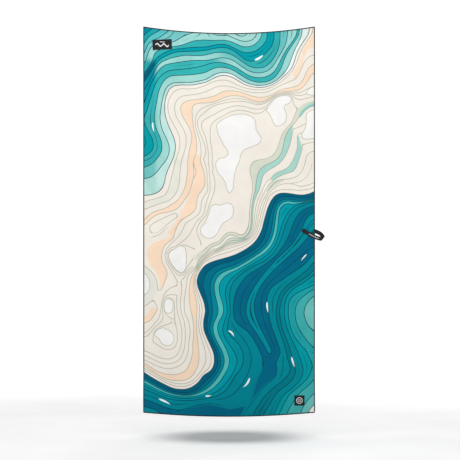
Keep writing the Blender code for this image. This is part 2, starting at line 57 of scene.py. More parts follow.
# the printed artwork, drawn on the flat cloth: right and down from its top left corner, in cm.
# each contour has its height: 0 is a coast, above it is land and below it is water
artwork = {
    "width": 80.0,
    "length": 180.0,
    "cell": 0.25,
    "upperWater": [
        (0, [(0, 79), (3, 78.4), (6, 77.2), (8.5, 75), (9.9, 72), (10.4, 69), (11.3, 66), (12.8, 62.5),
             (14.3, 59), (15, 55.5), (14.7, 51.5), (13.3, 48), (11.7, 44.5), (10.5, 41), (10, 37),
             (10.2, 33), (11, 30), (12.4, 27.3), (14.6, 25.7), (18, 25.1), (22, 24.8), (26, 24),
             (30, 22.8), (32.8, 21.2), (35, 20.2), (38, 19.7), (41, 20.4), (44, 22), (47, 23.9),
             (50, 25), (54, 25.8), (58, 25.5), (62, 24), (65, 21.8), (68.8, 18.6), (70.2, 16),
             (70.9, 13.5), (71.8, 11), (73.6, 8), (75.7, 5.2), (77.3, 2.8), (77.8, 0)]),
        (-1, [(0, 71), (3, 70), (5.5, 68), (8.5, 64), (11, 60.5), (12.1, 57), (12, 54), (10.8, 51),
              (9, 47.5), (8, 44), (7.8, 41), (8.3, 37), (9, 33), (9.8, 30), (11.2, 26.8), (13.8, 24.9),
              (17, 24.3), (22, 23.9), (26, 23), (30, 21.7), (32.5, 20), (34.5, 19), (38, 18.6),
              (41, 19.2), (44, 21), (47, 23), (50, 24.3), (54, 25.1), (58, 24.7), (62, 23.2),
              (65, 20.8), (67.5, 17.5), (69, 14), (70.3, 10.5), (72, 7), (73.6, 3.5), (74, 0)]),
        (-2, [(0, 66), (4, 63.5), (7, 60), (8.6, 57), (8.8, 54), (7.6, 50), (5.8, 46), (5.3, 42),
              (5.6, 38), (6.4, 34), (7, 30), (7.9, 27.3), (9.3, 24.5), (11, 22.5), (13, 21.3),
              (16, 20.8), (20, 20.3), (25, 19.6), (29, 18.6), (32, 17), (34, 16.2), (37, 15.9),
              (40, 16.5), (43, 18), (46, 20), (50, 22.3), (54, 23.5), (58, 23.3), (61, 21.8),
              (63, 19.5), (64.8, 16), (66, 12.5), (68, 9), (70.5, 5.5), (72.4, 2.5), (72.8, 0)]),
        (-3, [(0, 60.8), (2.5, 59), (4.2, 57), (4.7, 54.5), (3.8, 51), (2, 48), (0.9, 45), (0.7, 43),
              (1.3, 40), (2.4, 36), (3.6, 32), (4.5, 29), (5.6, 26), (7, 23.4), (9, 21), (11, 19.6),
              (13, 18.8), (16, 18.2), (20, 17.5), (24, 16.6), (28, 15.5), (31, 14.3), (34, 13.7),
              (37, 13.9), (40, 14.7), (43, 16), (46, 18), (50, 20.4), (54, 21.2), (58, 20.7),
              (61, 18.8), (63.2, 15.5), (65, 12), (67, 8.8), (69.5, 6), (71.6, 2.8), (72.1, 0)]),
        (-4, [(0, 49.5), (1.3, 52), (1.6, 54), (0.9, 56), (0, 57.2)]),
        (-4, [(0, 38), (1, 35), (2, 31), (2.6, 29), (3.6, 26), (5, 23), (6.3, 20.5), (8, 18.3),
              (10, 16.6), (12, 15.8), (15, 15), (18, 14.3), (22, 13.4), (26, 13), (30, 12.9),
              (33, 12.2), (36, 11.6), (40, 12), (43, 13.5), (46, 15.8), (50, 18.2), (54, 19),
              (58, 18.2), (60.5, 16), (62.5, 13), (64.5, 10), (66.2, 7), (67, 4), (67.2, 0)]),
        (-5, [(0, 30.5), (1.8, 27), (3.5, 23.5), (5.2, 20), (6.5, 17.5), (8.2, 15.6), (10.5, 14.2),
              (13, 13), (16, 12), (19, 11.2), (22, 10.9), (26, 10.9), (29, 10.4), (32, 9.5), (35, 9),
              (38, 9.1), (41, 10), (44, 11.8), (47, 14), (50, 16), (53, 16.8), (56, 16.6), (59, 14.8),
              (61.3, 12), (62.8, 9), (63.7, 5), (63.8, 0)]),
        (-6, [(0, 26.5), (1.5, 24), (3, 21.5), (4.5, 19), (5.8, 16.8), (7.5, 14.6), (10, 12.6),
              (12.5, 11.2), (15, 10.1), (17.5, 9.6), (20, 9.3), (24, 8.9), (28, 8.4), (31, 7.8),
              (34, 7), (37, 6.6), (40, 7), (43, 8.7), (45.5, 11), (48, 12.9), (50, 13.4), (52.5, 13.2),
              (55, 11.6), (57.5, 9.4), (59.7, 7), (60.7, 4.5), (61, 2), (61, 0)]),
        (-7, [(0, 23.5), (1.5, 21.3), (3.2, 18.5), (4.6, 16), (6.3, 13.8), (9, 11.5), (12, 9.8),
              (15, 8.6), (18, 8.1), (22, 7.4), (26, 7), (30, 6.6), (33, 5.7), (36, 5.2), (39, 5.5),
              (42, 6.9), (45, 8.5), (47.5, 9.2), (50, 9.2), (53, 8.3), (55.5, 6.3), (57.3, 4),
              (57.8, 2), (57.6, 0)]),
        (-8, [(0, 22.3), (1.6, 20.4), (3.4, 17.6), (4.6, 15), (5, 12.5), (6.5, 10.5), (9.5, 8.8),
              (13, 7.8), (16, 7.2), (18.5, 6.4), (21, 5.2), (24, 4), (27, 3.6), (32, 3.5), (37, 3.3),
              (40, 3.6), (43, 4.9), (46, 6.2), (48.5, 6.6), (51, 6), (53.5, 4.2), (55, 2), (55.2, 0)]),
        (-9, [(0, 19.5), (0.9, 16), (1.8, 13), (3.2, 9.5), (6, 7), (10, 6.4), (13.5, 5.7), (15.5, 4.6),
              (17.5, 3.2), (20, 1.9), (23, 0.8), (25, 0)]),
        (-9, [(31.5, 0), (33, 1.1), (36, 1.5), (40, 1.4), (43, 2.6), (46, 3.8), (48.5, 4), (51, 3.3),
              (52.7, 1.6), (53, 0)]),
        (-10, [(42, 0), (44, 1.2), (46.5, 1.5), (48.3, 0.6), (48.5, 0)]),
        (-10, [(0, 15), (1, 11), (2.4, 7.6), (4.8, 5.6), (7.2, 4.3), (9.6, 2.2), (12.5, 0)]),
        (-11, [(0, 10.5), (1, 7), (2.6, 4.2), (5, 2.4), (7, 1.2), (9, 0)]),
        (-12, [(0, 5), (1.4, 3), (3, 1.4), (5, 0)]),
    ],
    "lowerWater": [
        (0, [(80, 76.6), (78, 77.5), (75, 77.9), (72, 77.6), (69, 76.8), (66, 76.1), (63.5, 76),
             (61.5, 77), (59.7, 79), (58.2, 82), (57, 85.5), (56, 89), (55.3, 92), (54, 95), (52, 98),
             (49.5, 100.3), (46, 102.5), (42, 104.3), (38, 105.6), (34, 106.7), (31, 107.8),
             (28.5, 109.3), (26.7, 111.5), (25.4, 114), (24.8, 117), (25.2, 119.5), (26.3, 122),
             (27.7, 125), (28.6, 128), (28.9, 130.5), (28.4, 133.5), (28, 136), (28, 138.5),
             (28.7, 141), (30, 144), (31.4, 147), (32.6, 150), (33.1, 153), (32.7, 156), (31.5, 158.3),
             (29.5, 159.7), (27.8, 160.8), (26.3, 163), (24.3, 165.2), (21.5, 167), (18, 167.8),
             (14, 167.5), (10, 166), (6, 164.2), (3, 162.7), (0, 160.8)]),
        (-1, [(80, 79.5), (77, 79.6), (73, 79.1), (69, 78.2), (65, 77.9), (62.6, 79), (60.8, 81.5),
              (59.5, 85), (58.4, 89), (57.5, 93), (56.3, 96.5), (54, 99.8), (50.5, 102.5), (46, 105),
              (41.5, 106.8), (37, 108), (33.5, 109.3), (31, 111), (29, 113.3), (28, 116), (27.8, 119),
              (28.5, 122.5), (29.6, 126), (30.3, 129.5), (30.1, 133), (29.6, 136.5), (30, 140),
              (31.7, 144), (33.6, 148), (34.8, 151.5), (34.9, 155), (33.8, 158), (32, 160.7),
              (29.5, 163), (27.3, 165.5), (24.5, 168), (21, 169.3), (17, 169.6), (12, 168.6),
              (7, 166.5), (3, 164.5), (0, 162.8)]),
        (-2, [(80, 80.2), (75, 80.4), (70, 79.8), (67, 79.1), (64.2, 79.6), (62, 81.4), (60.9, 85),
              (60.2, 90), (59.4, 94), (57.8, 98), (55, 101.2), (51, 104.2), (46.5, 106.8), (42, 109),
              (38, 110.3), (35, 111.6), (33, 113.5), (31.8, 116), (31.2, 119.5), (31.5, 123),
              (32, 127), (32.2, 131), (31.8, 134.5), (31, 137.5), (31.3, 141), (33, 145), (35, 149),
              (36, 152.5), (35.9, 156), (34.3, 159.5), (32, 162.7), (29, 165.7), (25.5, 168.3),
              (21.5, 169.9), (17, 170.1), (12, 169.1), (7, 167.1), (3, 165.2), (0, 163.6)]),
        (-3, [(80, 80.6), (75, 80.9), (71, 80.8), (67.5, 80.1), (65, 80.6), (63.2, 82.3), (62, 86),
              (61.4, 90), (60.6, 94.5), (58.9, 98.8), (56, 102), (52, 104.8), (47, 107.8),
              (42.5, 110.2), (38.5, 111.6), (35.8, 113.2), (33.9, 115.5), (33, 118.5), (33.3, 122),
              (34.2, 126), (34.9, 129.5), (34.6, 132.5), (33.2, 135.3), (32.4, 138), (32.9, 141.5),
              (34.6, 145.5), (36.7, 149.5), (37.7, 153), (37.3, 156.5), (35.6, 160), (33.2, 163.4),
              (30, 166.6), (26.5, 168.8), (22, 170.3), (17, 170.5), (12, 169.7), (7, 167.9), (3, 166),
              (0, 164.6)]),
        (-4, [(80, 80.9), (75, 81.2), (71.5, 81.7), (69.3, 81.6), (67.5, 81), (65.3, 81.4),
              (63.6, 83.3), (63, 86), (62.8, 90), (62, 95), (60.3, 99.5), (57.5, 103), (53, 105.8),
              (48, 108.8), (43.5, 111.2), (40, 112.8), (37.8, 114.3), (36.3, 116.2), (35.3, 118.8),
              (35.5, 122), (36.8, 126), (37.4, 129.5), (37, 132.5), (35.4, 135), (34.6, 138),
              (35.2, 141.5), (37.2, 145.5), (39.3, 150), (40.2, 153.5), (39.5, 157), (37.7, 160.5),
              (35.3, 164), (32, 167.3), (28, 169.6), (22, 171), (17, 171.2), (12, 170.6), (7, 169),
              (3, 167.3), (0, 166)]),
        (-5, [(80, 81.2), (76, 81.5), (73, 81.9), (70.2, 82.7), (68.3, 84.5), (66.3, 87.5),
              (64.8, 90.5), (63.4, 95), (61.5, 99.8), (58.5, 103.8), (54, 107), (49, 109.8),
              (44.8, 112.3), (41.8, 114.6), (39.8, 117), (38.5, 120), (38.3, 123), (38.9, 126.5),
              (39.2, 130), (38.8, 133), (37.7, 136), (37, 139), (37.8, 142.5), (40, 146), (42.5, 150),
              (43.8, 153.5), (43, 157), (41, 161), (38, 165), (34, 168.5), (28.5, 170.7), (22, 171.8),
              (17, 172), (12, 171.5), (7, 170), (3, 168.4), (0, 167.3)]),
        (-6, [(80, 81.7), (77, 82), (74, 82.6), (71, 84), (68.5, 86.5), (66.6, 90), (65, 95), (63, 100),
              (60, 104.5), (55.5, 107.8), (51.5, 109.2), (47, 111.9), (43.5, 114.8), (41.3, 118),
              (40.2, 122), (40.2, 126), (40.6, 129.5), (40.3, 132.5), (39.4, 135.5), (39, 138.5),
              (40, 141.5), (42.5, 144), (45, 147), (46.4, 150.5), (46.4, 154), (45.2, 157.5),
              (42.5, 161), (40.5, 164.3), (38.5, 167.3), (35, 169.8), (29, 171.5), (22, 172.6),
              (17, 172.8), (12, 172.4), (7, 171), (3, 169.6), (0, 168.6)]),
        (-7, [(80, 83.3), (76.5, 84), (73.5, 85.5), (71.5, 87.6), (70, 90.5), (68.3, 95), (65.8, 99.8),
              (62.5, 104.3), (58.8, 107.5), (55.5, 109.6), (52.5, 111.3), (49, 113.3), (45.8, 116.8),
              (43.5, 120.5), (42.2, 125), (41.8, 130), (42.5, 134.5), (45, 137.3), (48.3, 139.6),
              (50.8, 142.5), (52.8, 146), (54.5, 149.5), (55.6, 152.5), (55.9, 155), (55, 158.5),
              (52.5, 163), (51, 167), (50, 170), (48, 172.5), (44.5, 174.5), (40, 175.4), (36, 174.3),
              (31, 173.6), (26, 174.2), (21, 176), (16, 177.5), (11, 177), (6, 175.3), (3, 174.3),
              (0, 173.8)]),
        (-8, [(80, 86.6), (78.3, 87.2), (76, 89), (74.6, 92), (72.5, 96), (69.8, 100), (66, 103.5),
              (62, 107), (58.8, 110.3), (56, 113.5), (53.5, 117), (51.2, 120.5), (49.2, 124.5),
              (48, 128.5), (48, 132), (49.5, 136), (52, 140), (54.6, 144), (57, 148), (58.2, 150.5),
              (59.2, 151.8), (60.1, 150.3), (58.8, 147.5), (56.8, 143.5), (54.8, 139.5), (53, 135.5),
              (51.9, 131.5), (51.6, 127.5), (52.5, 123.5), (54.2, 119.5), (56.8, 116), (60, 112.6),
              (64, 109), (68, 105.6), (72, 102.5), (76, 98.5), (78.5, 95.5), (80, 93.5)]),
        (-8, [(0, 177), (5, 178), (10, 179.6), (12, 180)]),
        (-7, [(80, 104.8), (78, 107.7), (75, 110.6), (70, 113.6), (65.5, 116.3), (62, 118.3),
              (59.7, 120), (58.2, 122.5), (57.6, 125), (57.8, 128), (58.3, 131), (59, 134.5),
              (60, 138.5), (61.2, 142), (62.5, 145.5), (63.6, 149), (64, 151), (63, 152.8), (62, 155.5),
              (62.5, 158.5), (62.3, 161), (61, 163), (58.5, 165), (56, 167.3), (54, 170), (51.5, 173),
              (49.3, 176), (46, 180)]),
        (-6, [(80, 109), (77.5, 112), (74, 114.8), (70, 117.6), (66.5, 120), (64.3, 122.7), (63, 126),
              (62.2, 130), (62, 133.5), (62.6, 137), (64, 141.5), (65.2, 145), (66.4, 149),
              (67.5, 154), (68.7, 158), (68.3, 160.5), (66, 163), (63, 165.3), (60, 167.5),
              (57, 170.3), (54.5, 173.5), (52.5, 176.5), (51, 180)]),
        (-5, [(80, 113), (77, 115.9), (73, 118), (70, 119.8), (67.6, 121.4), (65.6, 123.6), (64.3, 126.5),
              (63.6, 130), (63.7, 134), (64.6, 138.5), (66, 143), (67.8, 148), (69.3, 153),
              (70.3, 156.5), (71, 160), (70, 163), (67, 166), (64, 168), (61, 171), (59.5, 174),
              (57.5, 177), (55.5, 180)]),
        (-4, [(80, 114.8), (75, 118.6), (71.5, 120.3), (69, 122), (67.2, 124.3), (66.2, 127),
              (65.8, 130), (65.9, 134), (66.7, 138), (68.4, 143), (70.5, 147.5), (72, 151), (73.5, 155),
              (74.5, 159), (74.3, 162), (72.5, 165), (69.5, 168), (66, 170.3), (64, 173), (62.5, 176),
              (60.7, 180)]),
        (-3, [(80, 120.3), (76, 121.8), (72, 123.2), (69, 125.3), (67.7, 128), (67.4, 131.5),
              (67.7, 135), (68.6, 139.5), (70.5, 144), (73.5, 148), (75.8, 150.5), (77, 153.5),
              (78.3, 157), (78.2, 160.5), (76.8, 163.5), (74, 166), (71, 168.3), (68, 170.7),
              (66.3, 173.5), (64.5, 177), (63, 180)]),
        (-2, [(80, 122), (76, 124.3), (73, 126.5), (71.3, 129), (70.7, 132), (71, 135.5), (72, 139),
              (74, 142.7), (76.5, 146.5), (80, 151)]),
        (-2, [(80, 163.5), (78, 166), (75, 168.5), (72, 171), (70, 174), (68, 177), (66.5, 180)]),
        (-1, [(80, 125), (77, 127.5), (75.4, 130), (74.8, 133), (75.5, 136.5), (77, 139.5), (80, 143)]),
        (-1, [(80, 170.5), (77.5, 173), (75.5, 175.5), (74, 178), (73.4, 180)]),
        (-0.5, [(80, 129), (79.3, 133), (80, 137)]),
        (0, [(76.5, 180), (78.3, 177.5), (80, 175.7)]),
    ],
    "land": [
        (1, [(0, 82), (3, 80.5), (7, 79), (10, 77.5), (11.5, 75), (12.3, 72), (13, 69), (13.8, 66),
             (14.7, 62), (15.3, 60), (15.9, 58), (16.8, 55), (17, 52), (16.6, 49), (15.3, 46),
             (13.5, 43), (12, 40), (11.3, 37), (11.4, 34), (12.3, 31.5), (13.5, 29.5), (15, 28),
             (17, 27), (20, 26.8), (24, 26.4), (27, 25.5), (30, 24), (33, 22.6), (36, 22), (39, 22.1),
             (42, 23.3), (45, 25), (48, 26), (52, 26.8), (56, 26.9), (60, 26), (64, 24), (67, 21.5),
             (70, 18), (71.7, 15), (72.8, 11.5), (74.3, 8.5), (76.3, 5.5), (78, 3), (78.6, 0)]),
        (2, [(0, 85.5), (4, 83.5), (8, 81.5), (12, 79.8), (14, 78), (15.8, 75), (16.8, 71), (17.1, 67),
             (17.3, 64), (18, 60), (19.3, 56), (20, 53), (19.9, 49), (18.8, 46), (17, 43), (15.3, 40),
             (14.6, 37), (15, 34), (16, 32), (18, 30.5), (21, 29.8), (25, 29), (29, 27.7), (32, 26.2),
             (35, 25), (38, 24.7), (42, 25.5), (46, 26.9), (50, 27.9), (54, 28.2), (58, 28),
             (61, 26.8), (64.5, 25.3), (68, 24.3), (71, 23.2), (73, 20.5), (74.5, 17), (76, 14.8),
             (78, 13.4), (80, 13.2)]),
        (5, [(15.2, 85.2), (11.5, 87), (7.5, 89.3), (4.5, 91.2), (2.9, 93), (3, 94.6), (4.6, 95.8),
             (7, 94.9), (9, 92.8), (11.5, 90.2), (14, 88), (16, 86.3), (15.2, 85.2)]),
        (5, [(0, 98.6), (3, 98.5), (6, 97.5), (8.5, 95.8), (10.4, 93.6), (12.6, 91)]),
        (5, [(0, 111), (3, 113), (5.4, 115.5), (6.6, 118.5), (6.6, 122), (5.1, 125.5), (2.5, 129),
             (0, 131)]),
        (4, [(23.4, 69), (25, 66), (24.4, 63.5), (23.8, 61)]),
        (6, [(27.3, 60), (28.8, 58), (29.3, 55.5), (28.8, 53), (27.6, 50), (26.3, 47), (25.2, 44),
             (25, 41.5), (26, 39.8), (28, 38), (30, 36), (32, 34.4), (35, 33.2), (39, 32.4), (43, 31.9),
             (47, 32), (50, 32.7), (53, 33.5), (55.5, 33.4), (58.3, 32.3), (60, 30.9)]),
        (7, [(30.5, 60), (30.2, 56), (29.6, 52), (28.8, 48.5), (27.3, 45.5), (26.9, 43), (28, 41),
             (30.5, 39.6), (34, 37.7), (37, 36), (40, 34.8), (44, 34.1), (48, 34.8), (52, 35.9),
             (55, 36), (57.2, 35.2), (59.2, 33.2), (61.2, 30.8)]),
        (8, [(31.9, 62), (31.9, 58), (31.6, 54), (30.9, 51), (31, 48.5), (31.2, 45), (31.6, 43),
             (33.5, 41), (36.5, 39.3), (40, 37.2), (44, 36.1), (48, 36.6), (52, 37.8), (55, 37.5),
             (57, 36)]),
        (6, [(29.3, 68), (29.9, 71), (30.2, 74), (28.5, 76.5), (27.2, 79), (26.9, 82), (26.3, 84.5),
             (24.5, 86.5), (22, 88.2), (19.5, 90), (18.3, 93), (16.5, 96), (14, 98.5), (12, 101),
             (10.6, 103.5), (10.3, 106.5), (11, 109), (13, 112.3), (15, 115.5), (15.8, 118),
             (15.3, 120.5)]),
        (7, [(30.6, 64), (30.9, 68), (31, 72), (30.7, 75.5), (29.6, 79), (28.8, 82.5), (27.8, 86),
             (25.5, 88), (24, 90.5), (22.5, 93.5), (20, 97), (17.3, 99.4), (14.5, 102.2)]),
        (8, [(31.7, 65), (33, 68), (33.3, 71.5), (32.7, 75), (31.6, 78), (30.6, 81), (29.5, 85),
             (27, 88), (25.2, 91), (25, 94.5), (26.5, 97.2), (27.1, 99.5), (26.5, 101.8), (24.3, 104),
             (22.8, 106.5), (21.3, 109.3)]),
        (1, [(80, 74.8), (77, 75.5), (74, 75.6), (70, 75), (66, 74.6), (63, 74.7), (60.5, 75.6),
             (58.5, 77.6), (57.3, 80.5), (56.3, 84), (55.4, 88), (54.3, 92), (52.5, 95.7), (49.5, 98.5),
             (45.5, 100.6), (41, 102.3), (37, 103.5), (33.5, 104.7), (30.5, 106.2), (28, 108.2),
             (26.2, 110.8), (24.8, 113.5), (24.2, 116.5), (24.6, 119.5), (25.6, 122.5), (26.7, 126),
             (27.4, 129.5), (27.2, 133), (26.8, 136), (27.1, 139.5), (28.3, 143), (30, 147),
             (31.5, 151), (31.8, 154.5), (30.5, 157.5), (28.2, 159.5), (26.5, 161.5), (24, 164),
             (21, 165.8), (17.5, 166.5), (13, 166), (9, 164.4), (5, 162.4), (2, 160.9), (0, 160)]),
        (2, [(80, 73), (77, 74), (73.5, 74.3), (71, 73.4), (68, 72), (65, 71.7), (62.5, 72.5),
             (60.3, 74), (58.3, 76), (57, 79), (55.8, 82.5), (54.6, 86.5), (53.6, 91), (52, 94.7),
             (49, 97.3), (45, 99.4), (41, 100.6), (37.5, 101.5), (34, 103), (31, 104.9), (28.5, 107),
             (26.6, 109.5), (25, 112.4), (24.1, 115.5), (24, 118.5), (24.5, 121.5), (25.4, 125),
             (26.1, 128.5), (26.3, 131.5), (25.9, 135), (25.9, 138.5), (26.9, 142.5), (28.3, 147),
             (29.2, 151), (29.1, 154.5), (28, 157), (26.2, 159.8), (24.6, 161.9), (22.5, 163.8),
             (20, 164.9), (17, 165.3), (13, 164.9), (9, 163.3), (5, 161.4), (2, 159.9), (0, 159.1)]),
        (3, [(76, 60), (75.5, 63), (74.3, 66), (72.5, 68.3), (70, 69.5), (67, 69.8), (64, 69.7),
             (61.7, 70.5), (59.8, 72.3), (58.2, 74.8), (57, 77.5)]),
        (2, [(78.3, 60), (78.2, 64), (77.2, 67.5), (75, 70.2), (72, 71.3), (69, 71)]),
        (5, [(20.8, 113.5), (20.3, 117), (19.8, 121), (19.2, 125), (18.9, 129), (19.3, 132),
             (20.8, 135), (21.6, 138), (21.9, 141), (21.3, 145), (21, 149), (20.2, 152.5),
             (18.5, 155.3), (16, 157.3), (12.5, 158.4), (8.5, 158.3), (5, 157.2), (2, 156),
             (0, 155.2)]),
        (6, [(18.6, 118), (17.7, 123), (17.3, 128), (17.7, 132), (19, 135.5), (19.4, 139),
             (19.5, 143), (19.3, 147), (18.6, 150.5), (17.2, 153.3), (14.8, 155.3), (11.5, 156.2),
             (8, 156), (4.5, 154.8), (2, 153.8), (0, 153.2)]),
        (7, [(16.2, 122), (15.6, 126), (15.6, 130), (16.3, 133.5), (17.5, 137), (18, 141), (17.9, 145),
             (17.3, 148.5), (16, 151.5), (13.7, 153.6), (10.8, 154.3), (7.5, 153.8), (4, 152.4),
             (2, 151.6), (0, 151.2)]),
        (8, [(14.4, 127), (14.6, 131), (15, 135), (15.6, 139), (16, 143), (15.6, 146.5), (14.3, 148.6),
             (12, 149.6), (9.5, 149.3), (7, 148), (4.5, 146.8), (2.5, 147.2), (0, 147.3)]),
        (5.5, [(9.3, 122), (8.6, 127), (7.6, 132), (5.8, 136), (3.2, 139.5), (0, 142.5)]),
    ],
    # each ribbon fills the space between two contours with a colour of its own
    "ribbons": [
        ("peach",
         (3, [(-1, 92.3), (0.8, 90), (2.5, 88), (4.5, 86.2), (7, 84.9), (10, 83.8), (13, 81.6),
              (15.5, 79.8), (17.3, 77.5), (18.7, 75), (19.8, 71.5), (20.5, 67), (20.8, 63), (20.8, 60),
              (21.2, 57), (21.9, 53), (22.7, 50), (22.5, 47.5), (21.2, 44.5), (19.5, 42), (18, 39.5),
              (17.3, 36.5), (17.8, 34.2), (19.5, 32.8), (22, 32), (26, 31.3), (30, 30.5), (34, 29.2),
              (36, 28), (38, 27.2), (42, 27), (45, 27.4), (48, 28.5), (51, 29.8), (55, 30.5),
              (58.5, 30.2), (60.5, 29.5), (63, 28.2), (66, 27.3), (70, 27), (73, 26), (74.6, 24),
              (76, 20.7), (78, 18), (81, 16.6)]),
         (4, [(-1, 94), (0.8, 92), (2.5, 90.3), (5, 87.8), (8, 86.2), (12, 85.2), (14.5, 84.2),
              (17, 82), (19, 79), (21, 76), (22.3, 72.5), (22.9, 69), (23, 65), (22.8, 62), (23.4, 60),
              (24.6, 57), (25.1, 54), (24.8, 50.5), (24, 47), (23.3, 43), (23, 39), (22.8, 36),
              (23.6, 34), (25.5, 33.2), (29, 33), (33, 32.5), (36, 31.3), (39, 29.9), (42, 29.4),
              (46, 29.9), (50, 31.5), (54, 32.9), (57, 32.2), (60, 30.5), (62.5, 29), (66, 28.7),
              (70, 28.9), (73, 28.4), (76, 25.8), (78, 22.5), (81, 19.8)])),
        ("peach",
         (4.5, [(25.5, 57.5), (24.8, 60), (24.9, 63), (25.5, 67), (25, 71), (23.6, 75), (22.2, 79),
                (20.8, 82.5), (18.6, 84.9), (16.8, 87.3), (14.8, 90), (12.8, 93), (11, 95.4)]),
         (5, [(26.9, 57.5), (26.7, 60), (28, 64), (29.1, 68), (29, 71), (27.5, 74), (25.7, 76.5),
              (25, 80), (24.5, 83), (22.5, 85.5), (19.5, 87.5), (17.2, 90), (15.5, 93), (14.1, 96)])),
        ("peach",
         (4, [(13.6, 95.6), (11.5, 97.3), (8, 98.8), (5, 100.3), (3, 102), (2, 105), (2, 108),
              (3.5, 111), (5.7, 113.7), (7.2, 117), (7.8, 121)]),
         (5, [(14.6, 97), (11.8, 99.4), (9.9, 101.5), (9, 104), (8.7, 107), (9.5, 110), (11, 112.5),
              (11.3, 114.5), (10.3, 117), (8.6, 121)])),
        ("peach",
         (4, [(4.4, 130.4), (1.5, 134.5), (-1, 136.3)]),
         (5, [(6.8, 131), (5, 134), (3, 136.8), (-1, 139)])),
        ("peach",
         (3, [(23.9, 112.8), (23.5, 115.5), (23.6, 119), (24.1, 122), (24.8, 125.5), (25.2, 129),
              (25, 132.5), (24.7, 135), (24.9, 138), (25.1, 142), (25.5, 146), (25.9, 150), (26, 154),
              (25.2, 157.5), (23.7, 160.3), (21.3, 162.7), (18.5, 163.8), (15, 164), (11, 163.7),
              (7.5, 162.4), (4, 160.3), (1.5, 158.7), (-1, 157.6)]),
         (4, [(23.3, 113.3), (22.2, 116), (21.5, 119.5), (21.3, 123), (21.6, 127), (22.1, 130.5),
              (23, 134), (23.3, 136.5), (23.6, 139.5), (23.5, 142.5), (23, 146), (22.9, 150),
              (22.4, 153), (21.4, 156), (19.9, 158.7), (17.5, 160.3), (14, 161.2), (10, 161.1),
              (6.5, 160.2), (3, 158.4), (1, 157.3), (-1, 156.4)])),
        ("sage",
         (8, [(81, 34.2), (77, 34.8), (75, 35.3), (73, 36.5), (71.5, 38.5), (70.5, 41), (69, 44),
              (67, 46), (65.3, 48), (64, 51), (63, 54), (61.5, 57), (59.5, 58.8), (57, 59.7),
              (54, 59.9), (51.5, 60.5), (50.2, 62), (49.7, 64), (50.3, 67), (51.2, 70), (51.6, 73),
              (51, 76.5), (50.4, 80), (50, 84), (49.9, 88), (49.6, 91), (48.3, 94), (46.5, 95.4),
              (44.5, 95.3), (43, 94.2), (41.3, 93.7), (39, 94), (37.3, 95.6), (35.5, 97.8),
              (33, 98.7), (31, 99.6), (29.8, 101.2), (28.5, 102.7), (26.5, 103.6), (25.2, 105),
              (24.9, 107.5), (24.2, 110)]),
         (7, [(81, 36), (77.5, 36.6), (75.5, 37.7), (73.8, 39.5), (72, 42), (70, 44.5), (68, 46.3),
              (66.7, 48.5), (65.8, 51), (65.2, 54), (64.5, 57), (63, 59.3), (60, 61.2), (57, 62.4),
              (54.8, 64), (53.6, 66), (52.9, 68.5), (52.4, 71), (52.1, 74), (51.2, 77.5),
              (50.8, 80), (50.5, 84), (50.3, 88), (50, 91), (48.6, 94.4), (46.3, 96), (43.5, 95.7),
              (41.2, 94.8), (39, 95.4), (37.5, 97), (35.8, 98.9), (33, 100), (31.2, 101.2),
              (29.8, 103), (28.3, 104.6), (26.8, 106), (25.6, 108), (24.9, 110.5)])),
        ("aqua",
         (7, [(69.6, 45), (68, 46.3), (66.7, 48.5), (65.8, 51), (65.2, 54), (64.5, 57), (63, 59.3),
              (60, 61.2), (57, 62.4), (54.8, 64), (53.6, 66), (52.9, 68.5), (52.4, 71), (52.1, 74),
              (51.2, 77.5), (50.8, 80), (50.5, 84), (50.3, 88), (50, 91), (48.6, 94.4), (46.3, 96)]),
         (6, [(69.8, 45), (69.4, 48), (69, 51), (68.2, 54), (67, 57), (65.3, 60), (62.8, 62.5),
              (59.5, 64.3), (57, 65.8), (55.7, 67.5), (55.1, 70), (54.4, 73), (53, 76), (51.8, 79),
              (51.3, 82), (51, 85), (50.9, 89), (50.5, 92), (48.8, 95), (46.3, 96.6)])),
        ("sage",
         (6, [(44, 96.4), (41.5, 96), (39.3, 96.9), (37.5, 99), (35.5, 100.8), (33.5, 101.9)]),
         (4.5, [(50, 96.3), (46.5, 97.8), (43, 98.9), (39.5, 99.6), (36.5, 100.9), (33.5, 102.1)])),
        ("aqua",
         (5, [(71.9, 50), (72, 53), (71.8, 56), (70.8, 59), (69.3, 62), (67.3, 64.4), (64.5, 65.7),
              (62, 66.5), (60.3, 67.8), (59.4, 69.6)]),
         (4, [(72.5, 50), (73.3, 53), (73.9, 56), (73.2, 59), (72.2, 62), (71.3, 64.5), (69.8, 66.3),
              (67, 67), (64.3, 67.7), (62.5, 68.7), (60.6, 69.9)])),
        ("aqua",
         (7.4, [(81, 34.9), (78, 35.4), (75.5, 36.6), (73.8, 38.2), (72.6, 40)]),
         (6.4, [(81, 37.1), (78, 37.5), (76, 38.6), (74, 40.6), (72.8, 42)])),
        ("sage",
         (3.5, [(57.9, 73), (59.3, 71.2), (61.3, 70), (63.5, 69.5), (65.5, 69.7)]),
         (2.5, [(57.3, 75.3), (59.3, 73.9), (61.3, 72.6), (63.2, 71.5), (65.5, 70.3)])),
    ],
    # flat patches of colour with no contour of their own
    "patches": [
        ("peach", [(78.8, -1), (81, -1), (81, 9.8), (77, 10), (75.4, 13), (74.2, 17), (72.5, 20.5),
                   (70.6, 23.2), (69.8, 21), (72, 17), (73.5, 13), (75, 9), (77, 6), (79, 3.5)]),
        ("pale", [(-1, 110.6), (3, 113), (5.4, 115.5), (6.6, 118.5), (6.6, 122), (5.1, 125.5),
                  (2.5, 129), (-1, 131.5)]),
        ("peach", [(23.4, 60), (24.8, 57.3), (26.6, 57.3), (27.2, 61), (28.2, 64.5), (29.1, 68), (29, 71),
                   (27.5, 74), (25.7, 76.5), (25, 80), (24.3, 83), (22, 85.5), (19.5, 87.3),
                   (17.5, 85.8), (19.5, 81), (21.4, 76.3), (22.7, 72.5), (23.2, 69), (23.3, 65),
                   (23, 62)]),
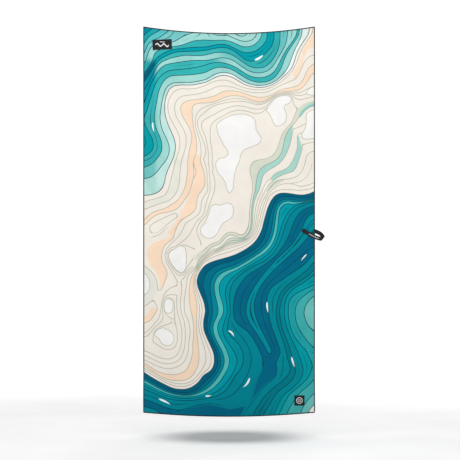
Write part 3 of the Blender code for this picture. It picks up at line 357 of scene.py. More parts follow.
        ("pale", [(-1, 82.2), (3, 80.6), (7, 79.1), (10.2, 77.4), (11.8, 75), (12.8, 71), (13.8, 66.4),
                  (15.3, 60.4), (17.5, 60.4), (17.1, 64), (16.9, 68), (16.6, 71.5), (15.6, 75),
                  (13.8, 78), (11.5, 79.9), (8, 81.5), (4, 83.4), (-1, 85.8)]),
    ],
    "islands": [
        [(34.4, 45), (34.3, 43), (35.5, 41.5), (37.5, 40.3), (40, 39), (43, 38.2), (46, 38), (49, 38.6),
         (51.3, 40), (52.4, 42.5), (52.6, 45.5), (54, 47.8), (55, 50), (54.4, 51.5), (52, 53),
         (49, 54), (46.8, 55), (45.5, 57), (45, 59.5), (43.5, 63), (42.5, 66.5), (42.1, 70),
         (41.5, 73.5), (40, 75), (39, 73), (38.3, 70.5), (37, 68), (35, 65.8), (33.9, 63), (34, 60.5),
         (35.5, 59), (38, 58.2), (39.5, 57), (39.3, 55), (37.5, 52.5), (36, 49.5), (34.8, 47)],
        [(58.5, 38), (57.5, 37), (58, 35.5), (59.5, 33.5), (61.5, 31.5), (64, 30.6), (66.5, 30.5),
         (68.5, 31.3), (69, 33), (68, 34.3), (66, 35), (65.7, 36.5), (66.5, 38.5), (66.7, 40.5),
         (66, 43), (64, 44.3), (62, 44.4), (60.7, 43), (60, 41), (59.3, 39.5)],
        [(31.5, 81.5), (33, 80.6), (36, 80.7), (39, 79.7), (40.7, 80), (41.8, 81.5), (42, 84),
         (41.3, 86.3), (39.5, 87.8), (37.5, 89), (36, 91), (34.8, 93.5), (33, 95.6), (30.5, 96.4),
         (28, 95.5), (26.7, 93.5), (27, 91.5), (28.2, 90), (29.5, 87.5), (30.7, 84)],
        [(11.9, 105), (12.8, 103.5), (15, 102), (17, 100.6), (19, 101), (20, 104), (20, 108),
         (19.5, 111.5), (18, 113.2), (16.2, 112.5), (13.8, 110.3), (12.3, 107.8)],
        [(9.7, 130), (9.8, 127.8), (10.8, 126), (12.5, 125.9), (13.7, 127), (13.8, 129.5),
         (13.6, 131.3), (12.5, 132.4), (11, 132.5), (10, 131.5)],
        [(5.4, 143.5), (5.6, 142), (7, 140.6), (9, 139.6), (11, 140.2), (13, 141.3), (14.1, 143),
         (14.2, 145), (13.5, 146.7), (12, 147.7), (10, 147.7), (8.3, 146.6), (7.4, 145), (6.3, 144.3)],
        [(76.3, 40), (78, 39), (82, 39), (82, 52), (78, 52), (75.3, 51.8), (73.8, 50.5), (74.2, 49),
         (75.5, 47), (76, 44)],
        [(-2, 115), (1, 115.3), (2.3, 117), (3, 119.5), (2.8, 122), (1.5, 124.3), (-2, 125.8)],
        [(76, 30.5), (77.5, 28.6), (82, 28.3), (82, 31.5), (78, 31.6)],
    ],
    # heights between the contours, where the ground would otherwise be level
    "seeds": [
        (-12.7, [(0, 0), (1, 0.5)]),
        (-10.6, [(45.2, 0), (47.2, 0)]),
        (-8.5, [(0, 180), (4, 180)]),
        (-8.6, [(79.8, 90), (75, 95.5), (68, 103.3), (60.5, 110.3), (54, 118.5), (50.6, 125), (50, 131),
                (53, 138), (56.5, 144.5), (58.6, 149.6)]),
        (8.6, [(37, 77), (39, 78), (44, 79), (45, 85)]),
        (8.5, [(31, 98), (36, 93.5)]),
        (8.6, [(62, 47), (60, 51), (56, 55.5)]),
        (8.5, [(66, 32), (60, 36), (63, 41)]),
        (0.5, [(79.5, 180), (80, 178.5)]),
        (5.45, [(4.5, 93.6), (8, 91.7), (12.5, 87.8), (14.6, 86.2)]),
        (4.5, [(0, 101.3), (2.5, 100), (6.5, 98)]),
        (5.45, [(0, 114), (3.2, 116.5), (4.9, 120), (3.5, 124.5), (0, 128)]),
        (4.5, [(0, 107), (0.6, 104)]),
    ],
    "highIslands": 6,  # the first six islands stand at the height below
    "islandHeight": 8.6,
    "rounds": ((2.0, 200), (1.0, 150), (0.5, 150), (0.25, 220)),  # cell and rounds, coarse to fine
    # right of this valley the lower water has colours of its own
    "valley": [(82, 95), (78, 100), (72, 104), (66, 110), (60, 117), (56, 125), (57, 135), (60, 145),
               (58.5, 155), (57, 163), (50, 172), (43, 181)],
    "valleyClose": [(90, 181), (90, 95)],  # beyond the right edge
    # each glint: where it starts and ends, how far it bows and its widest half
    "glints": [
        ((51.9, 12.9), (55.9, 10.7), 0.25, 0.6),
        ((4.4, 44), (5, 48.5), 0.3, 0.45),
        ((76.2, 105.7), (73.6, 108.5), 0.1, 0.32),
        ((57.7, 126.5), (58.2, 131.6), 0.2, 0.42),
        ((39.6, 139.6), (42.2, 142.4), -0.5, 0.42),
        ((69.1, 153), (70.6, 158), 0.1, 0.42),
        ((49.6, 161.9), (46.6, 166.3), -0.5, 0.5),
        ((7.1, 173), (12.6, 175.2), -0.2, 0.5),
        ((28.9, 170.6), (31.6, 170.1), 0.1, 0.42),
    ],
}

cloth = {
    "width": 800 * mm,
    "length": 1800 * mm,
    "topSag": 31 * mm,
    "bottomSag": 19 * mm,
    "thickness": 1 * mm,
    "columns": 208,
    "rows": 470,
    "backColumns": 80,
    "backRows": 180,
    "foldDepth": 2.6 * mm,
    # where the labels and the strap are sewn on: across, down, half width and half height of the calm
    "sewnOn": ((0.11, 0.045, 0.16, 0.06), (0.91, 0.97, 0.1, 0.05), (0.96, 0.53, 0.13, 0.05)),
}


# smooth path through the points, with even steps
def curveThrough(points, spacing=0.1):
    knots = np.array(points, dtype=float)
    lengths = np.linalg.norm(np.diff(knots, axis=0), axis=1)
    reach = np.concatenate([[0], np.cumsum(lengths)])
    slopes = np.gradient(knots, reach, axis=0)
    found = []
    for index, length in enumerate(lengths):
        steps = max(2, int(length / spacing))
        t = np.linspace(0, 1, steps, endpoint=False)[:, None]
        start, end = knots[index], knots[index + 1]
        found.append(
            (2 * t**3 - 3 * t**2 + 1) * start
            + (t**3 - 2 * t**2 + t) * length * slopes[index]
            + (3 * t**2 - 2 * t**3) * end
            + (t**3 - t**2) * length * slopes[index + 1]
        )
    found.append(knots[-1:])
    return np.concatenate(found)


# smooth closed path
def closedCurve(points):
    wrapped = list(points[-3:]) + list(points) + list(points[:3])
    path = curveThrough(wrapped)
    start = np.argmin(np.linalg.norm(path[: len(path) // 4] - np.array(points[0]), axis=1))
    tail = len(path) // 2
    end = tail + np.argmin(np.linalg.norm(path[tail:] - np.array(points[0]), axis=1))
    return path[start:end]


# which points lie inside a closed path
def insidePath(path, across, down):
    inside = np.zeros(across.shape, dtype=bool)
    low, high = path.min(axis=0), path.max(axis=0)
    near = (across >= low[0]) & (across <= high[0]) & (down >= low[1]) & (down <= high[1])
    x, y = across[near], down[near]
    found = np.zeros(x.shape, dtype=bool)
    ends = np.roll(path, -1, axis=0)
    for (ax, ay), (bx, by) in zip(path, ends):
        if ay == by:
            continue
        crosses = (ay > y) != (by > y)
        found ^= crosses & (x < (bx - ax) * (y - ay) / (by - ay) + ax)
    inside[near] = found
    return inside


# distance to a path's edge in cm, above 0 inside it
def edgeDistance(path, across, down, limit=2.0):
    distance = np.full(across.shape, limit)
    low, high = path.min(axis=0) - limit, path.max(axis=0) + limit
    near = (across >= low[0]) & (across <= high[0]) & (down >= low[1]) & (down <= high[1])
    x, y = across[near], down[near]
    nearest = np.full(x.shape, limit)
    for start in range(0, len(path), 60):
        part = path[start : start + 61]
        box = (x > part[:, 0].min() - limit) & (x < part[:, 0].max() + limit)
        box &= (y > part[:, 1].min() - limit) & (y < part[:, 1].max() + limit)
        if not box.any():
            continue
        gaps = np.hypot(x[box][:, None] - part[:, 0], y[box][:, None] - part[:, 1]).min(axis=1)
        nearest[box] = np.minimum(nearest[box], gaps)
    distance[near] = nearest
    return np.where(insidePath(path, across, down), distance, -distance)


# the field with small steps evened out
def smoothed(field, times):
    for _ in range(times):
        for axis in (0, 1):
            size = field.shape[axis]
            before = field.take(np.maximum(np.arange(size) - 1, 0), axis)
            after = field.take(np.minimum(np.arange(size) + 1, size - 1), axis)
            field = (before + 2 * field + after) / 4
    return field


# the field at any points, between its grid's own
def gridValues(field, cell, across, down):
    x = np.clip(across / cell, 0, field.shape[1] - 1.001)
    y = np.clip(down / cell, 0, field.shape[0] - 1.001)
    left, top = x.astype(int), y.astype(int)
    fx, fy = x - left, y - top
    upper = field[top, left] * (1 - fx) + field[top, left + 1] * fx
    lower = field[top + 1, left] * (1 - fx) + field[top + 1, left + 1] * fx
    return upper * (1 - fy) + lower * fy


# heights over the whole artwork that meet every contour and run evenly between them
def contourField():
    width, length = artwork["width"], artwork["length"]
    lines = artwork["upperWater"] + artwork["lowerWater"] + artwork["land"]
    for _, outer, inner in artwork["ribbons"]:
        lines = lines + [side for side in (outer, inner) if side[0] == int(side[0])]
    paths = [(level, curveThrough(points)) for level, points in lines + artwork["seeds"]]
    islands = [closedCurve(points) for points in artwork["islands"][: artwork["highIslands"]]]
    field = None
    for cell, rounds in artwork["rounds"]:
        shape = (int(length / cell) + 1, int(width / cell) + 1)
        down, across = np.mgrid[0 : shape[0], 0 : shape[1]] * cell
        if field is None:
            field = np.zeros(shape)
        else:
            field = gridValues(field, cell * 2, across, down)
        total, count = np.zeros(shape), np.zeros(shape)
        for level, path in paths:
            kept = (path[:, 0] > -cell) & (path[:, 0] < width + cell)
            column = np.clip(np.rint(path[kept, 0] / cell).astype(int), 0, shape[1] - 1)
            row = np.clip(np.rint(path[kept, 1] / cell).astype(int), 0, shape[0] - 1)
            here = np.zeros(shape, dtype=bool)
            here[row, column] = True
            total += here * level
            count += here
        for path in islands:
            here = insidePath(path, across, down) & (count == 0)
            total += here * artwork["islandHeight"]
            count += here
        fixed = count > 0
        held = np.where(fixed, total / np.maximum(count, 1), 0)
        for _ in range(rounds):
            padded = np.pad(field, 1, mode="edge")
            even = (padded[:-2, 1:-1] + padded[2:, 1:-1] + padded[1:-1, :-2] + padded[1:-1, 2:]) / 4
            field = np.where(fixed, held, even)
    field = smoothed(field, 4)
    slopeDown, slopeAcross = np.gradient(field, artwork["cell"])
    slope = smoothed(np.hypot(slopeDown, slopeAcross), 2)
    return field, slope


# opens the active piece for editing with everything selected
def editWhole():
    bpy.ops.object.mode_set(mode="EDIT")
    bpy.ops.mesh.select_all(action="SELECT")


# flat grid of quads, with its map from 0 to 1
def makeGrid(name, columns, rows):
    bpy.ops.mesh.primitive_grid_add(x_subdivisions=columns, y_subdivisions=rows, size=1)
    made = bpy.context.object
    made.name = name
    made.data.name = name
    return made


# each vertex's place across and down the grid, both from 0 to 1
def gridPlaces(made):
    flat = np.empty(len(made.data.vertices) * 3)
    made.data.vertices.foreach_get("co", flat)
    flat = flat.reshape(-1, 3)
    return flat[:, 0] + 0.5, 0.5 - flat[:, 1]


def putVertices(made, x, y, z):
    made.data.vertices.foreach_set("co", np.stack([x, y, z], axis=1).ravel())
    made.data.update()


# the map in metres on the flat piece
def putMap(made, u, v):
    corners = np.empty(len(made.data.loops), dtype=int)
    made.data.loops.foreach_get("vertex_index", corners)
    layer = made.data.uv_layers[0]
    layer.data.foreach_set("uv", np.stack([u[corners], v[corners]], axis=1).ravel())


def putValues(made, name, values):
    layer = made.data.attributes.new(name, "FLOAT", "POINT")
    layer.data.foreach_set("value", values.astype(np.float32))


def fade(values, low, high):
    t = np.clip((values - low) / (high - low), 0, 1)
    return t * t * (3 - 2 * t)


# where the flat cloth's points hang: across and down from 0 to 1
def hangCloth(across, down):
    x = (across - 0.5) * cloth["width"]
    arch = 1 - (2 * across - 1) ** 2
    top = -cloth["topSag"] * arch
    bottom = -cloth["length"] - cloth["bottomSag"] * arch
    z = top + (bottom - top) * down
    # soft folds that die out at the edges and at the sewn pieces
    folds = 0.55 * np.sin(across * 17 + 2.2 * np.sin(down * 3.1) + 0.6) * fade(1 - down, 0.05, 0.9)
    folds += 0.45 * np.sin((down - 1.3 * (across - 0.5) ** 2) * 23 + across * 4) * fade(1 - down, 0.3, 1)
    folds += 0.35 * np.sin(across * 9 - down * 7 + 1.1)
    calm = fade(across, 0, 0.1) * fade(1 - across, 0, 0.1) * fade(down, 0, 0.07) * fade(1 - down, 0, 0.05)
    for middle, below, halfWidth, halfHeight in cloth["sewnOn"]:
        calm *= fade(np.hypot((across - middle) / halfWidth, (down - below) / halfHeight), 0.75, 1.4)
    return x, folds * calm * cloth["foldDepth"], z


# one surface of the cloth, half its thickness to the front or the back
def hangSurface(name, columns, rows, side, heights):
    made = makeGrid(name, columns, rows)
    across, down = gridPlaces(made)
    x, y, z = hangCloth(across, down)
    putVertices(made, x, y + side * cloth["thickness"] / 2, z)
    putMap(made, across * cloth["width"], (1 - down) * cloth["length"])
    right, below = across * artwork["width"], down * artwork["length"]
    putValues(made, "contourHeight", gridValues(heights, artwork["cell"], right, below))
    bpy.ops.object.shade_smooth()
    return made, right, below


def putDistance(made, name, paths, right, below, limit=2.0):
    distances = [edgeDistance(path, right, below, limit) for path in paths]
    putValues(made, name + "Distance", np.max(distances, axis=0))


def makeCloth(field, slope):
    face, right, below = hangSurface("printedFace", cloth["columns"], cloth["rows"], front, field)
    putValues(face, "contourSlope", gridValues(slope, artwork["cell"], right, below))
    tints = {"peach": [], "sage": [], "aqua": [], "pale": []}
    for colour, outer, inner in artwork["ribbons"]:
        ribbon = np.concatenate([curveThrough(outer[1]), curveThrough(inner[1])[::-1]])
        tints[colour].append(ribbon)
    for colour, points in artwork["patches"]:
        tints[colour].append(curveThrough(points + points[:1]))
    for colour, paths in tints.items():
        putDistance(face, colour, paths, right, below)
    putDistance(face, "island", [closedCurve(points) for points in artwork["islands"]], right, below)
    east = np.concatenate([curveThrough(artwork["valley"]), np.array(artwork["valleyClose"])])
    putDistance(face, "east", [east], right, below, 6)
    blurred = smoothed(field, 12)
    backing, _, _ = hangSurface("clothBack", cloth["backColumns"], cloth["backRows"], back, blurred)
    editWhole()
    bpy.ops.mesh.flip_normals()
    bpy.ops.object.mode_set(mode="OBJECT")
    return face, backing


# a colour as it's written on paint charts, made linear
def linear(code):
    parts = [int(code[i : i + 2], 16) / 255 for i in (1, 3, 5)]
    return tuple(p / 12.92 if p <= 0.04045 else ((p + 0.055) / 1.055) ** 2.4 for p in parts) + (1.0,)


# adds nodes to one tree and links them
class Wiring:
    def __init__(self, tree):
        self.tree = tree

    def node(self, kind, **settings):
        made = self.tree.nodes.new(kind)
        for name, value in settings.items():
            setattr(made, name, value)
        return made

    def plug(self, source, socket):
        if isinstance(source, bpy.types.NodeSocket):
            self.tree.links.new(source, socket)
        else:
            socket.default_value = source

    def maths(self, operation, first, second=0.0, third=None):
        made = self.node("ShaderNodeMath", operation=operation)
        self.plug(first, made.inputs[0])
        self.plug(second, made.inputs[1])
        if third is not None:
            self.plug(third, made.inputs[2])
        return made.outputs[0]

    def times(self, first, second):
        return self.maths("MULTIPLY", first, second)

    def plus(self, first, second):
        return self.maths("ADD", first, second)

    def minus(self, first, second):
        return self.maths("SUBTRACT", first, second)

    def size(self, value):
        return self.maths("ABSOLUTE", value)

    def larger(self, first, second):
        return self.maths("MAXIMUM", first, second)

    def parts(self, vector):
        made = self.node("ShaderNodeSeparateXYZ")
        self.plug(vector, made.inputs[0])
        return made.outputs

    def place(self, x, y):
        made = self.node("ShaderNodeCombineXYZ")
        self.plug(x, made.inputs[0])
        self.plug(y, made.inputs[1])
        return made.outputs[0]

    def scaled(self, vector, factor):
        made = self.node("ShaderNodeVectorMath", operation="SCALE")
        self.plug(vector, made.inputs[0])
        self.plug(factor, made.inputs["Scale"])
        return made.outputs[0]

    # from the first colour of a pair to the second
    def shades(self, factor, pair):
        return self.mix(factor, linear(pair[0]), linear(pair[1]))

    # fades out from low to high
    def less(self, value, low, high):
        return self.ease(value, low, high, 1.0, 0.0)

    def vectors(self, operation, first, second=(0.0, 0.0, 0.0)):
        made = self.node("ShaderNodeVectorMath", operation=operation)
        self.plug(first, made.inputs[0])
        self.plug(second, made.inputs[1])
        return made.outputs["Value" if operation in ("DISTANCE", "LENGTH", "DOT_PRODUCT") else "Vector"]

    def ease(self, value, low, high, start=0.0, end=1.0):
        made = self.node("ShaderNodeMapRange", interpolation_type="SMOOTHSTEP")
        self.plug(value, made.inputs["Value"])
        for name, number in (("From Min", low), ("From Max", high), ("To Min", start), ("To Max", end)):
            self.plug(number, made.inputs[name])
        return made.outputs["Result"]

    def mix(self, factor, first, second, blend="MIX"):
        made = self.node("ShaderNodeMix", data_type="RGBA", blend_type=blend)
        self.plug(factor, made.inputs[0])
        self.plug(first, made.inputs[6])
        self.plug(second, made.inputs[7])
        return made.outputs[2]

    def bands(self, value, colours, span=16):
        made = self.node("ShaderNodeValToRGB")
        ramp = made.color_ramp
        ramp.interpolation = "CONSTANT"
        ramp.elements[0].color = linear(colours[0])
        ramp.elements[1].position = 1 / span
        ramp.elements[1].color = linear(colours[1])
        for index, colour in enumerate(colours[2:], start=2):
            ramp.elements.new(index / span).color = linear(colour)
        self.plug(self.maths("DIVIDE", value, span), made.inputs[0])
        return made.outputs[0]

    def noise(self, place, scale, detail=2.0, rough=0.5):
        made = self.node("ShaderNodeTexNoise")
        self.plug(place, made.inputs["Vector"])
        for name, number in (("Scale", scale), ("Detail", detail), ("Roughness", rough)):
            made.inputs[name].default_value = number
        return made.outputs[0]

    def values(self, name):
        return self.node("ShaderNodeAttribute", attribute_name=name).outputs["Fac"]

    def use(self, group, **inputs):
        made = self.node("ShaderNodeGroup", node_tree=group)
        for name, value in inputs.items():
            self.plug(value, made.inputs[name])
        return made.outputs


# an empty shared effect with named sockets
def newGroup(name, inputs, outputs):
    tree = bpy.data.node_groups.new(name, "ShaderNodeTree")
    for label, kind in inputs.items():
        tree.interface.new_socket(label, in_out="INPUT", socket_type="NodeSocket" + kind)
    for label, kind in outputs.items():
        tree.interface.new_socket(label, in_out="OUTPUT", socket_type="NodeSocket" + kind)
    wires = Wiring(tree)
    start = tree.nodes.new("NodeGroupInput")
    end = tree.nodes.new("NodeGroupOutput")
    return wires, start.outputs, end.inputs, tree


def makeLineGroup():
    wires, given, wanted, tree = newGroup(
        "contourLine", {"height": "Float", "slope": "Float", "halfWidth": "Float"}, {"mask": "Float"}
    )
    nearest = wires.maths("ROUND", given["height"])
    away = wires.size(wires.minus(given["height"], nearest))
    distance = wires.maths("DIVIDE", away, wires.larger(given["slope"], 0.12))
    inner = wires.times(given["halfWidth"], 0.72)
    outer = wires.times(given["halfWidth"], 1.28)
    drawn = wires.ease(distance, inner, outer, 1.0, 0.0)
    # flat stretches have no contour of their own
    steep = wires.ease(given["slope"], 0.03, 0.07)
    wires.plug(wires.times(drawn, steep), wanted["mask"])
    return tree


# a bowed streak that tapers from a round head to a point
def makeGlintGroup():
    wires, given, wanted, tree = newGroup(
        "glint",
        {"place": "Vector", "start": "Vector", "end": "Vector", "bow": "Float", "halfWidth": "Float"},
        {"mask": "Float"},
    )
    run = wires.vectors("SUBTRACT", given["end"], given["start"])
    length = wires.vectors("LENGTH", run)
    along = wires.vectors("NORMALIZE", run)
    away = wires.vectors("SUBTRACT", given["place"], given["start"])
    travel = wires.maths("DIVIDE", wires.vectors("DOT_PRODUCT", away, along), length)
    parts = wires.parts(along)
    side = wires.place(wires.times(parts[1], -1.0), parts[0])
    across = wires.vectors("DOT_PRODUCT", away, side)
    arch = wires.times(travel, wires.minus(1.0, travel))
    across = wires.minus(across, wires.times(arch, given["bow"]))
    room = wires.larger(wires.times(arch, 4.0), 0.0)
    rounded = wires.maths("POWER", room, 0.6)
    taper = wires.times(rounded, wires.ease(travel, -0.3, 1.3, 1.25, 0.5))
    over = wires.minus(wires.size(across), wires.times(taper, given["halfWidth"]))
    inRun = wires.ease(room, 0.02, 0.12)
    wires.plug(wires.times(wires.less(over, -0.05, 0.03), inRun), wanted["mask"])
    return tree


# crossing yarns as a height, with each yarn a little different
def makeWeaveGroup():
    wires, given, wanted, tree = newGroup(
        "yarnWeave", {"place": "Vector", "pitch": "Float"}, {"height": "Float", "tone": "Float"}
    )
    steps = wires.scaled(given["place"], wires.maths("DIVIDE", math.pi, given["pitch"]))
    parts = wires.parts(steps)
    warp = wires.size(wires.maths("SINE", parts[0]))
    weft = wires.size(wires.maths("SINE", parts[1]))
    over = wires.ease(wires.maths("SINE", wires.plus(parts[0], parts[1])), -0.35, 0.35)
    high = wires.plus(wires.times(warp, over), wires.times(weft, wires.minus(1.0, over)))
    wires.plug(high, wanted["height"])
    wires.plug(wires.noise(steps, 0.6, 1.0), wanted["tone"])
    return tree


# short brushed nap and the slight marks it keeps
def makeSuedeGroup():
    wires, given, wanted, tree = newGroup(
        "brushedNap", {"place": "Vector"}, {"height": "Float", "tone": "Float"}
    )
    fine = wires.noise(given["place"], 1400, 1.0, 0.6)
    coarse = wires.noise(given["place"], 240, 2.0, 0.6)
    marks = wires.noise(given["place"], 9, 4.0, 0.62)
    wires.plug(wires.plus(wires.times(fine, 0.45), wires.times(coarse, 0.55)), wanted["height"])
    wires.plug(wires.plus(wires.times(marks, 0.7), wires.times(coarse, 0.3)), wanted["tone"])
    return tree


def newMaterial(name, roughness=0.85, sheen=0.0):
    made = bpy.data.materials.new(name)
    made.use_nodes = True
    wires = Wiring(made.node_tree)
    shader = made.node_tree.nodes["Principled BSDF"]
    shader.inputs["Roughness"].default_value = roughness
    shader.inputs["Sheen Weight"].default_value = sheen
    shader.inputs["Specular IOR Level"].default_value = 0.25
    return made, wires, shader


def bump(wires, shader, height, depth, strength=0.6):
    made = wires.node("ShaderNodeBump")
    made.inputs["Strength"].default_value = strength
    made.inputs["Distance"].default_value = depth
    wires.plug(height, made.inputs["Height"])
    wires.plug(made.outputs[0], shader.inputs["Normal"])


def mapPlace(wires):
    return wires.node("ShaderNodeUVMap", uv_map="UVMap").outputs[0]


def objectPlace(wires):
    return wires.node("ShaderNodeTexCoord").outputs["Object"]


# the object's place seen from the front: right and up
def facePlace(wires):
    parts = wires.parts(objectPlace(wires))
    return parts[0], parts[2], wires.place(parts[0], parts[2])


palette = {
    "upperLeft": ["#c4e5df", "#9fd6cf", "#35b0b0", "#3bb2b2", "#9dd5cf", "#3cb1b1", "#0099a6", "#34acae",
                  "#9dd5cf", "#78c4c3", "#56babb", "#1d9ea7", "#008a9e"],
    "upperEdge": ["#b4ddd6", "#74c2bf", "#38aaad", "#009ba6", "#00889b", "#008a9e", "#005d78", "#006e88",
                  "#289fa6", "#78c4c3", "#56babb", "#1d9ea7", "#008a9e"],
    "upperRight": ["#eaf2ef", "#98d2cc", "#38aeb0", "#98d2cc", "#6bc0be", "#32a9ab", "#0099a6", "#3fb2b2",
                   "#9dd5cf", "#aad8d2", "#9dd5cf", "#1d9ea7", "#008a9e"],
    "lowerWest": ["#005a78", "#006c88", "#008496", "#52bbb9", "#009aa8", "#008e9d", "#008494", "#006483",
                  "#008a9a", "#008a9a"],
    "lowerEast": ["#6cbdb8", "#42acac", "#209fa4", "#0097a1", "#008795", "#007886", "#008695", "#006483",
                  "#008a9a", "#008a9a"],
    "cream": "#ede6dc",
    "peach": "#f5d9bf",
    "sage": "#d3d6c5",
    "aqua": "#a5d2c7",
    "pale": "#e3e2d8",
    "island": "#f1f0ee",
    "waterLine": "#04404f",
    "landLine": "#b3b3a2",
    "coolLine": "#7f9c98",
    "waterWash": "#00868f",
    "glint": "#eef7f5",
    "backCloth": "#eceae4",
    "backGhost": "#7fbcc0",
    "backMarks": "#8f9c9c",
}


def makePrint(lineGroup, glintGroup, suedeGroup):
    made, wires, shader = newMaterial("printedCloth", 0.95, 0.0)
    shader.inputs["Specular IOR Level"].default_value = 0.08
    place = mapPlace(wires)
    scaled = wires.node("ShaderNodeVectorMath", operation="MULTIPLY_ADD")
    wires.plug(place, scaled.inputs[0])
    scaled.inputs[1].default_value = (100, -100, 0)  # metres up to cm down
    scaled.inputs[2].default_value = (0, artwork["length"], 0)
    drawn = scaled.outputs[0]
    parts = wires.parts(drawn)
    right, below = parts[0], parts[1]
    height, slope = wires.values("contourHeight"), wires.values("contourSlope")
    depth = wires.times(height, -1.0)
    left = wires.bands(depth, palette["upperLeft"])
    edge = wires.bands(depth, palette["upperEdge"])
    nearEdge = wires.times(wires.less(right, 4.5, 7.5), wires.ease(below, 13, 17))
    upper = wires.mix(nearEdge, left, edge)
    upper = wires.mix(wires.ease(right, 31, 41), upper, wires.bands(depth, palette["upperRight"]))
    west = wires.bands(depth, palette["lowerWest"])
    east = wires.bands(depth, palette["lowerEast"])
    lower = wires.mix(wires.ease(wires.values("eastDistance"), -0.4, 0.4), west, east)
    slanted = wires.maths("MULTIPLY_ADD", right, 0.6, below)
    water = wires.mix(wires.ease(slanted, 94.9, 95.1), upper, lower)
    wash = wires.noise(drawn, 0.11, 3.0, 0.55)
    water = wires.mix(wires.ease(wash, 0.36, 0.64, 0.0, 0.14), water, linear(palette["waterWash"]))
    land, zones = linear(palette["cream"]), {}
    for name in ("peach", "pale", "sage", "aqua"):
        zones[name] = wires.ease(wires.values(name + "Distance"), -0.04, 0.04)
        land = wires.mix(zones[name], land, linear(palette[name]))
    colour = wires.mix(wires.ease(height, -0.02, 0.02), water, land)
    island = wires.values("islandDistance")
    lines = wires.use(lineGroup, height=height, slope=slope, halfWidth=0.15)["mask"]
    # wide bands of deeper water have one more line, halfway
    halfway = wires.plus(height, 0.5)
    between = wires.use(lineGroup, height=halfway, slope=slope, halfWidth=0.13)["mask"]
    between = wires.times(between, wires.less(slope, 0.22, 0.34))
    between = wires.times(between, wires.less(height, -2.1, -2.0))
    lines = wires.times(wires.larger(lines, between), wires.less(island, -0.25, -0.15))
    outline = wires.less(wires.size(island), 0.1, 0.18)
    coolZone = wires.ease(wires.plus(zones["sage"], zones["aqua"]), 0.0, 0.5)
    landLine = wires.shades(coolZone, (palette["landLine"], palette["coolLine"]))
    ink = wires.mix(wires.ease(height, 0.02, 0.3), linear(palette["waterLine"]), landLine)
    colour = wires.mix(wires.ease(island, -0.05, 0.05), colour, linear(palette["island"]))
    colour = wires.mix(wires.larger(lines, outline), colour, ink)
    for start, end, bow, halfWidth in artwork["glints"]:
        shape = {"start": (*start, 0), "end": (*end, 0), "bow": bow * 4, "halfWidth": halfWidth}
        mask = wires.use(glintGroup, place=drawn, **shape)["mask"]
        colour = wires.mix(mask, colour, linear(palette["glint"]))
    nap = wires.use(suedeGroup, place=place)
    shade = wires.ease(nap["tone"], 0.3, 0.7, 0.94, 1.03)
    wires.plug(wires.scaled(colour, shade), shader.inputs["Base Color"])
    bump(wires, shader, nap["height"], 0.25 * mm, 0.5)
    return made


# undyed side, where the print shows through faintly
def makeClothBack(suedeGroup, weaveGroup):
    made, wires, shader = newMaterial("clothBackSide", 0.92, 0.1)
    place = mapPlace(wires)
    height = wires.values("contourHeight")
    ghost = wires.ease(height, -8, 1.5, 0.62, 0.08)
    colour = wires.shades(ghost, (palette["backCloth"], palette["backGhost"]))
    nap = wires.use(suedeGroup, place=place)
    weave = wires.use(weaveGroup, place=place, pitch=0.9 * mm)
    marks = wires.ease(nap["tone"], 0.3, 0.7, 0.1, 0.0)
    colour = wires.mix(marks, colour, linear(palette["backMarks"]))
    wires.plug(colour, shader.inputs["Base Color"])
    bump(wires, shader, wires.plus(nap["height"], weave["height"]), 0.2 * mm, 0.4)
    return made


def makeThread(name, colour, weaveGroup, pitch=0.5 * mm, roughness=0.6):
    made, wires, shader = newMaterial(name, roughness, 0.05)
    weave = wires.use(weaveGroup, place=facePlace(wires)[2], pitch=pitch)
    # painted shade: the thread is drawn darker in the weave's hollows and lighter on its crests; the darker
    # copy also colours some yarns at random
    darkYarnAndShade = tuple(part * 0.45 for part in linear(colour)[:3]) + (1.0,)
    shown = wires.mix(weave["height"], darkYarnAndShade, linear(colour))
    shown = wires.mix(wires.ease(weave["tone"], 0.35, 0.65, 0.0, 0.3), shown, darkYarnAndShade)
    wires.plug(shown, shader.inputs["Base Color"])
    bump(wires, shader, weave["height"], 0.15 * mm, 0.7)
    return made


label = {
    "thickness": 0.6 * mm,
    "level": 0.8 * mm,
    "cornerRadius": 1.5 * mm,
    "softEdge": 0.16 * mm,
    "stitchInset": 2.2 * mm,
    "stitchPitch": 2.6 * mm,
    "stitchLength": 1.8 * mm,
    "threadRadius": 0.24 * mm,
    "yarnPitch": 0.42 * mm,
    "ringRadius": 13.5 * mm,
    # each pair: darker in the weave's painted shade, lighter on its crests
    "black": ("#08090b", "#232428"),
    "white": ("#b9b9b6", "#f4f4f2"),
    "threadColour": "#303236",
}
# each wave of a label: height, half its width, how far it reaches, rise and length, in mm
cornerLabel = {
    "size": (90 * mm, 47 * mm),
    "centre": (-0.312, -0.084),
    "turn": math.radians(-3),
    "waves": ((-2, 3.1, 31, 5.5, 31), (12.5, 1.3, 11, 0.8, 9)),
    "ring": False,
}
squareLabel = {
    "size": (47 * mm, 47 * mm),
    "centre": (0.328, -1.744),
    "turn": 0.0,
    "waves": ((3.4, 1.1, 8, 1.6, 10), (-3.4, 1.1, 8, 1.6, 10)),
    "ring": True,
}


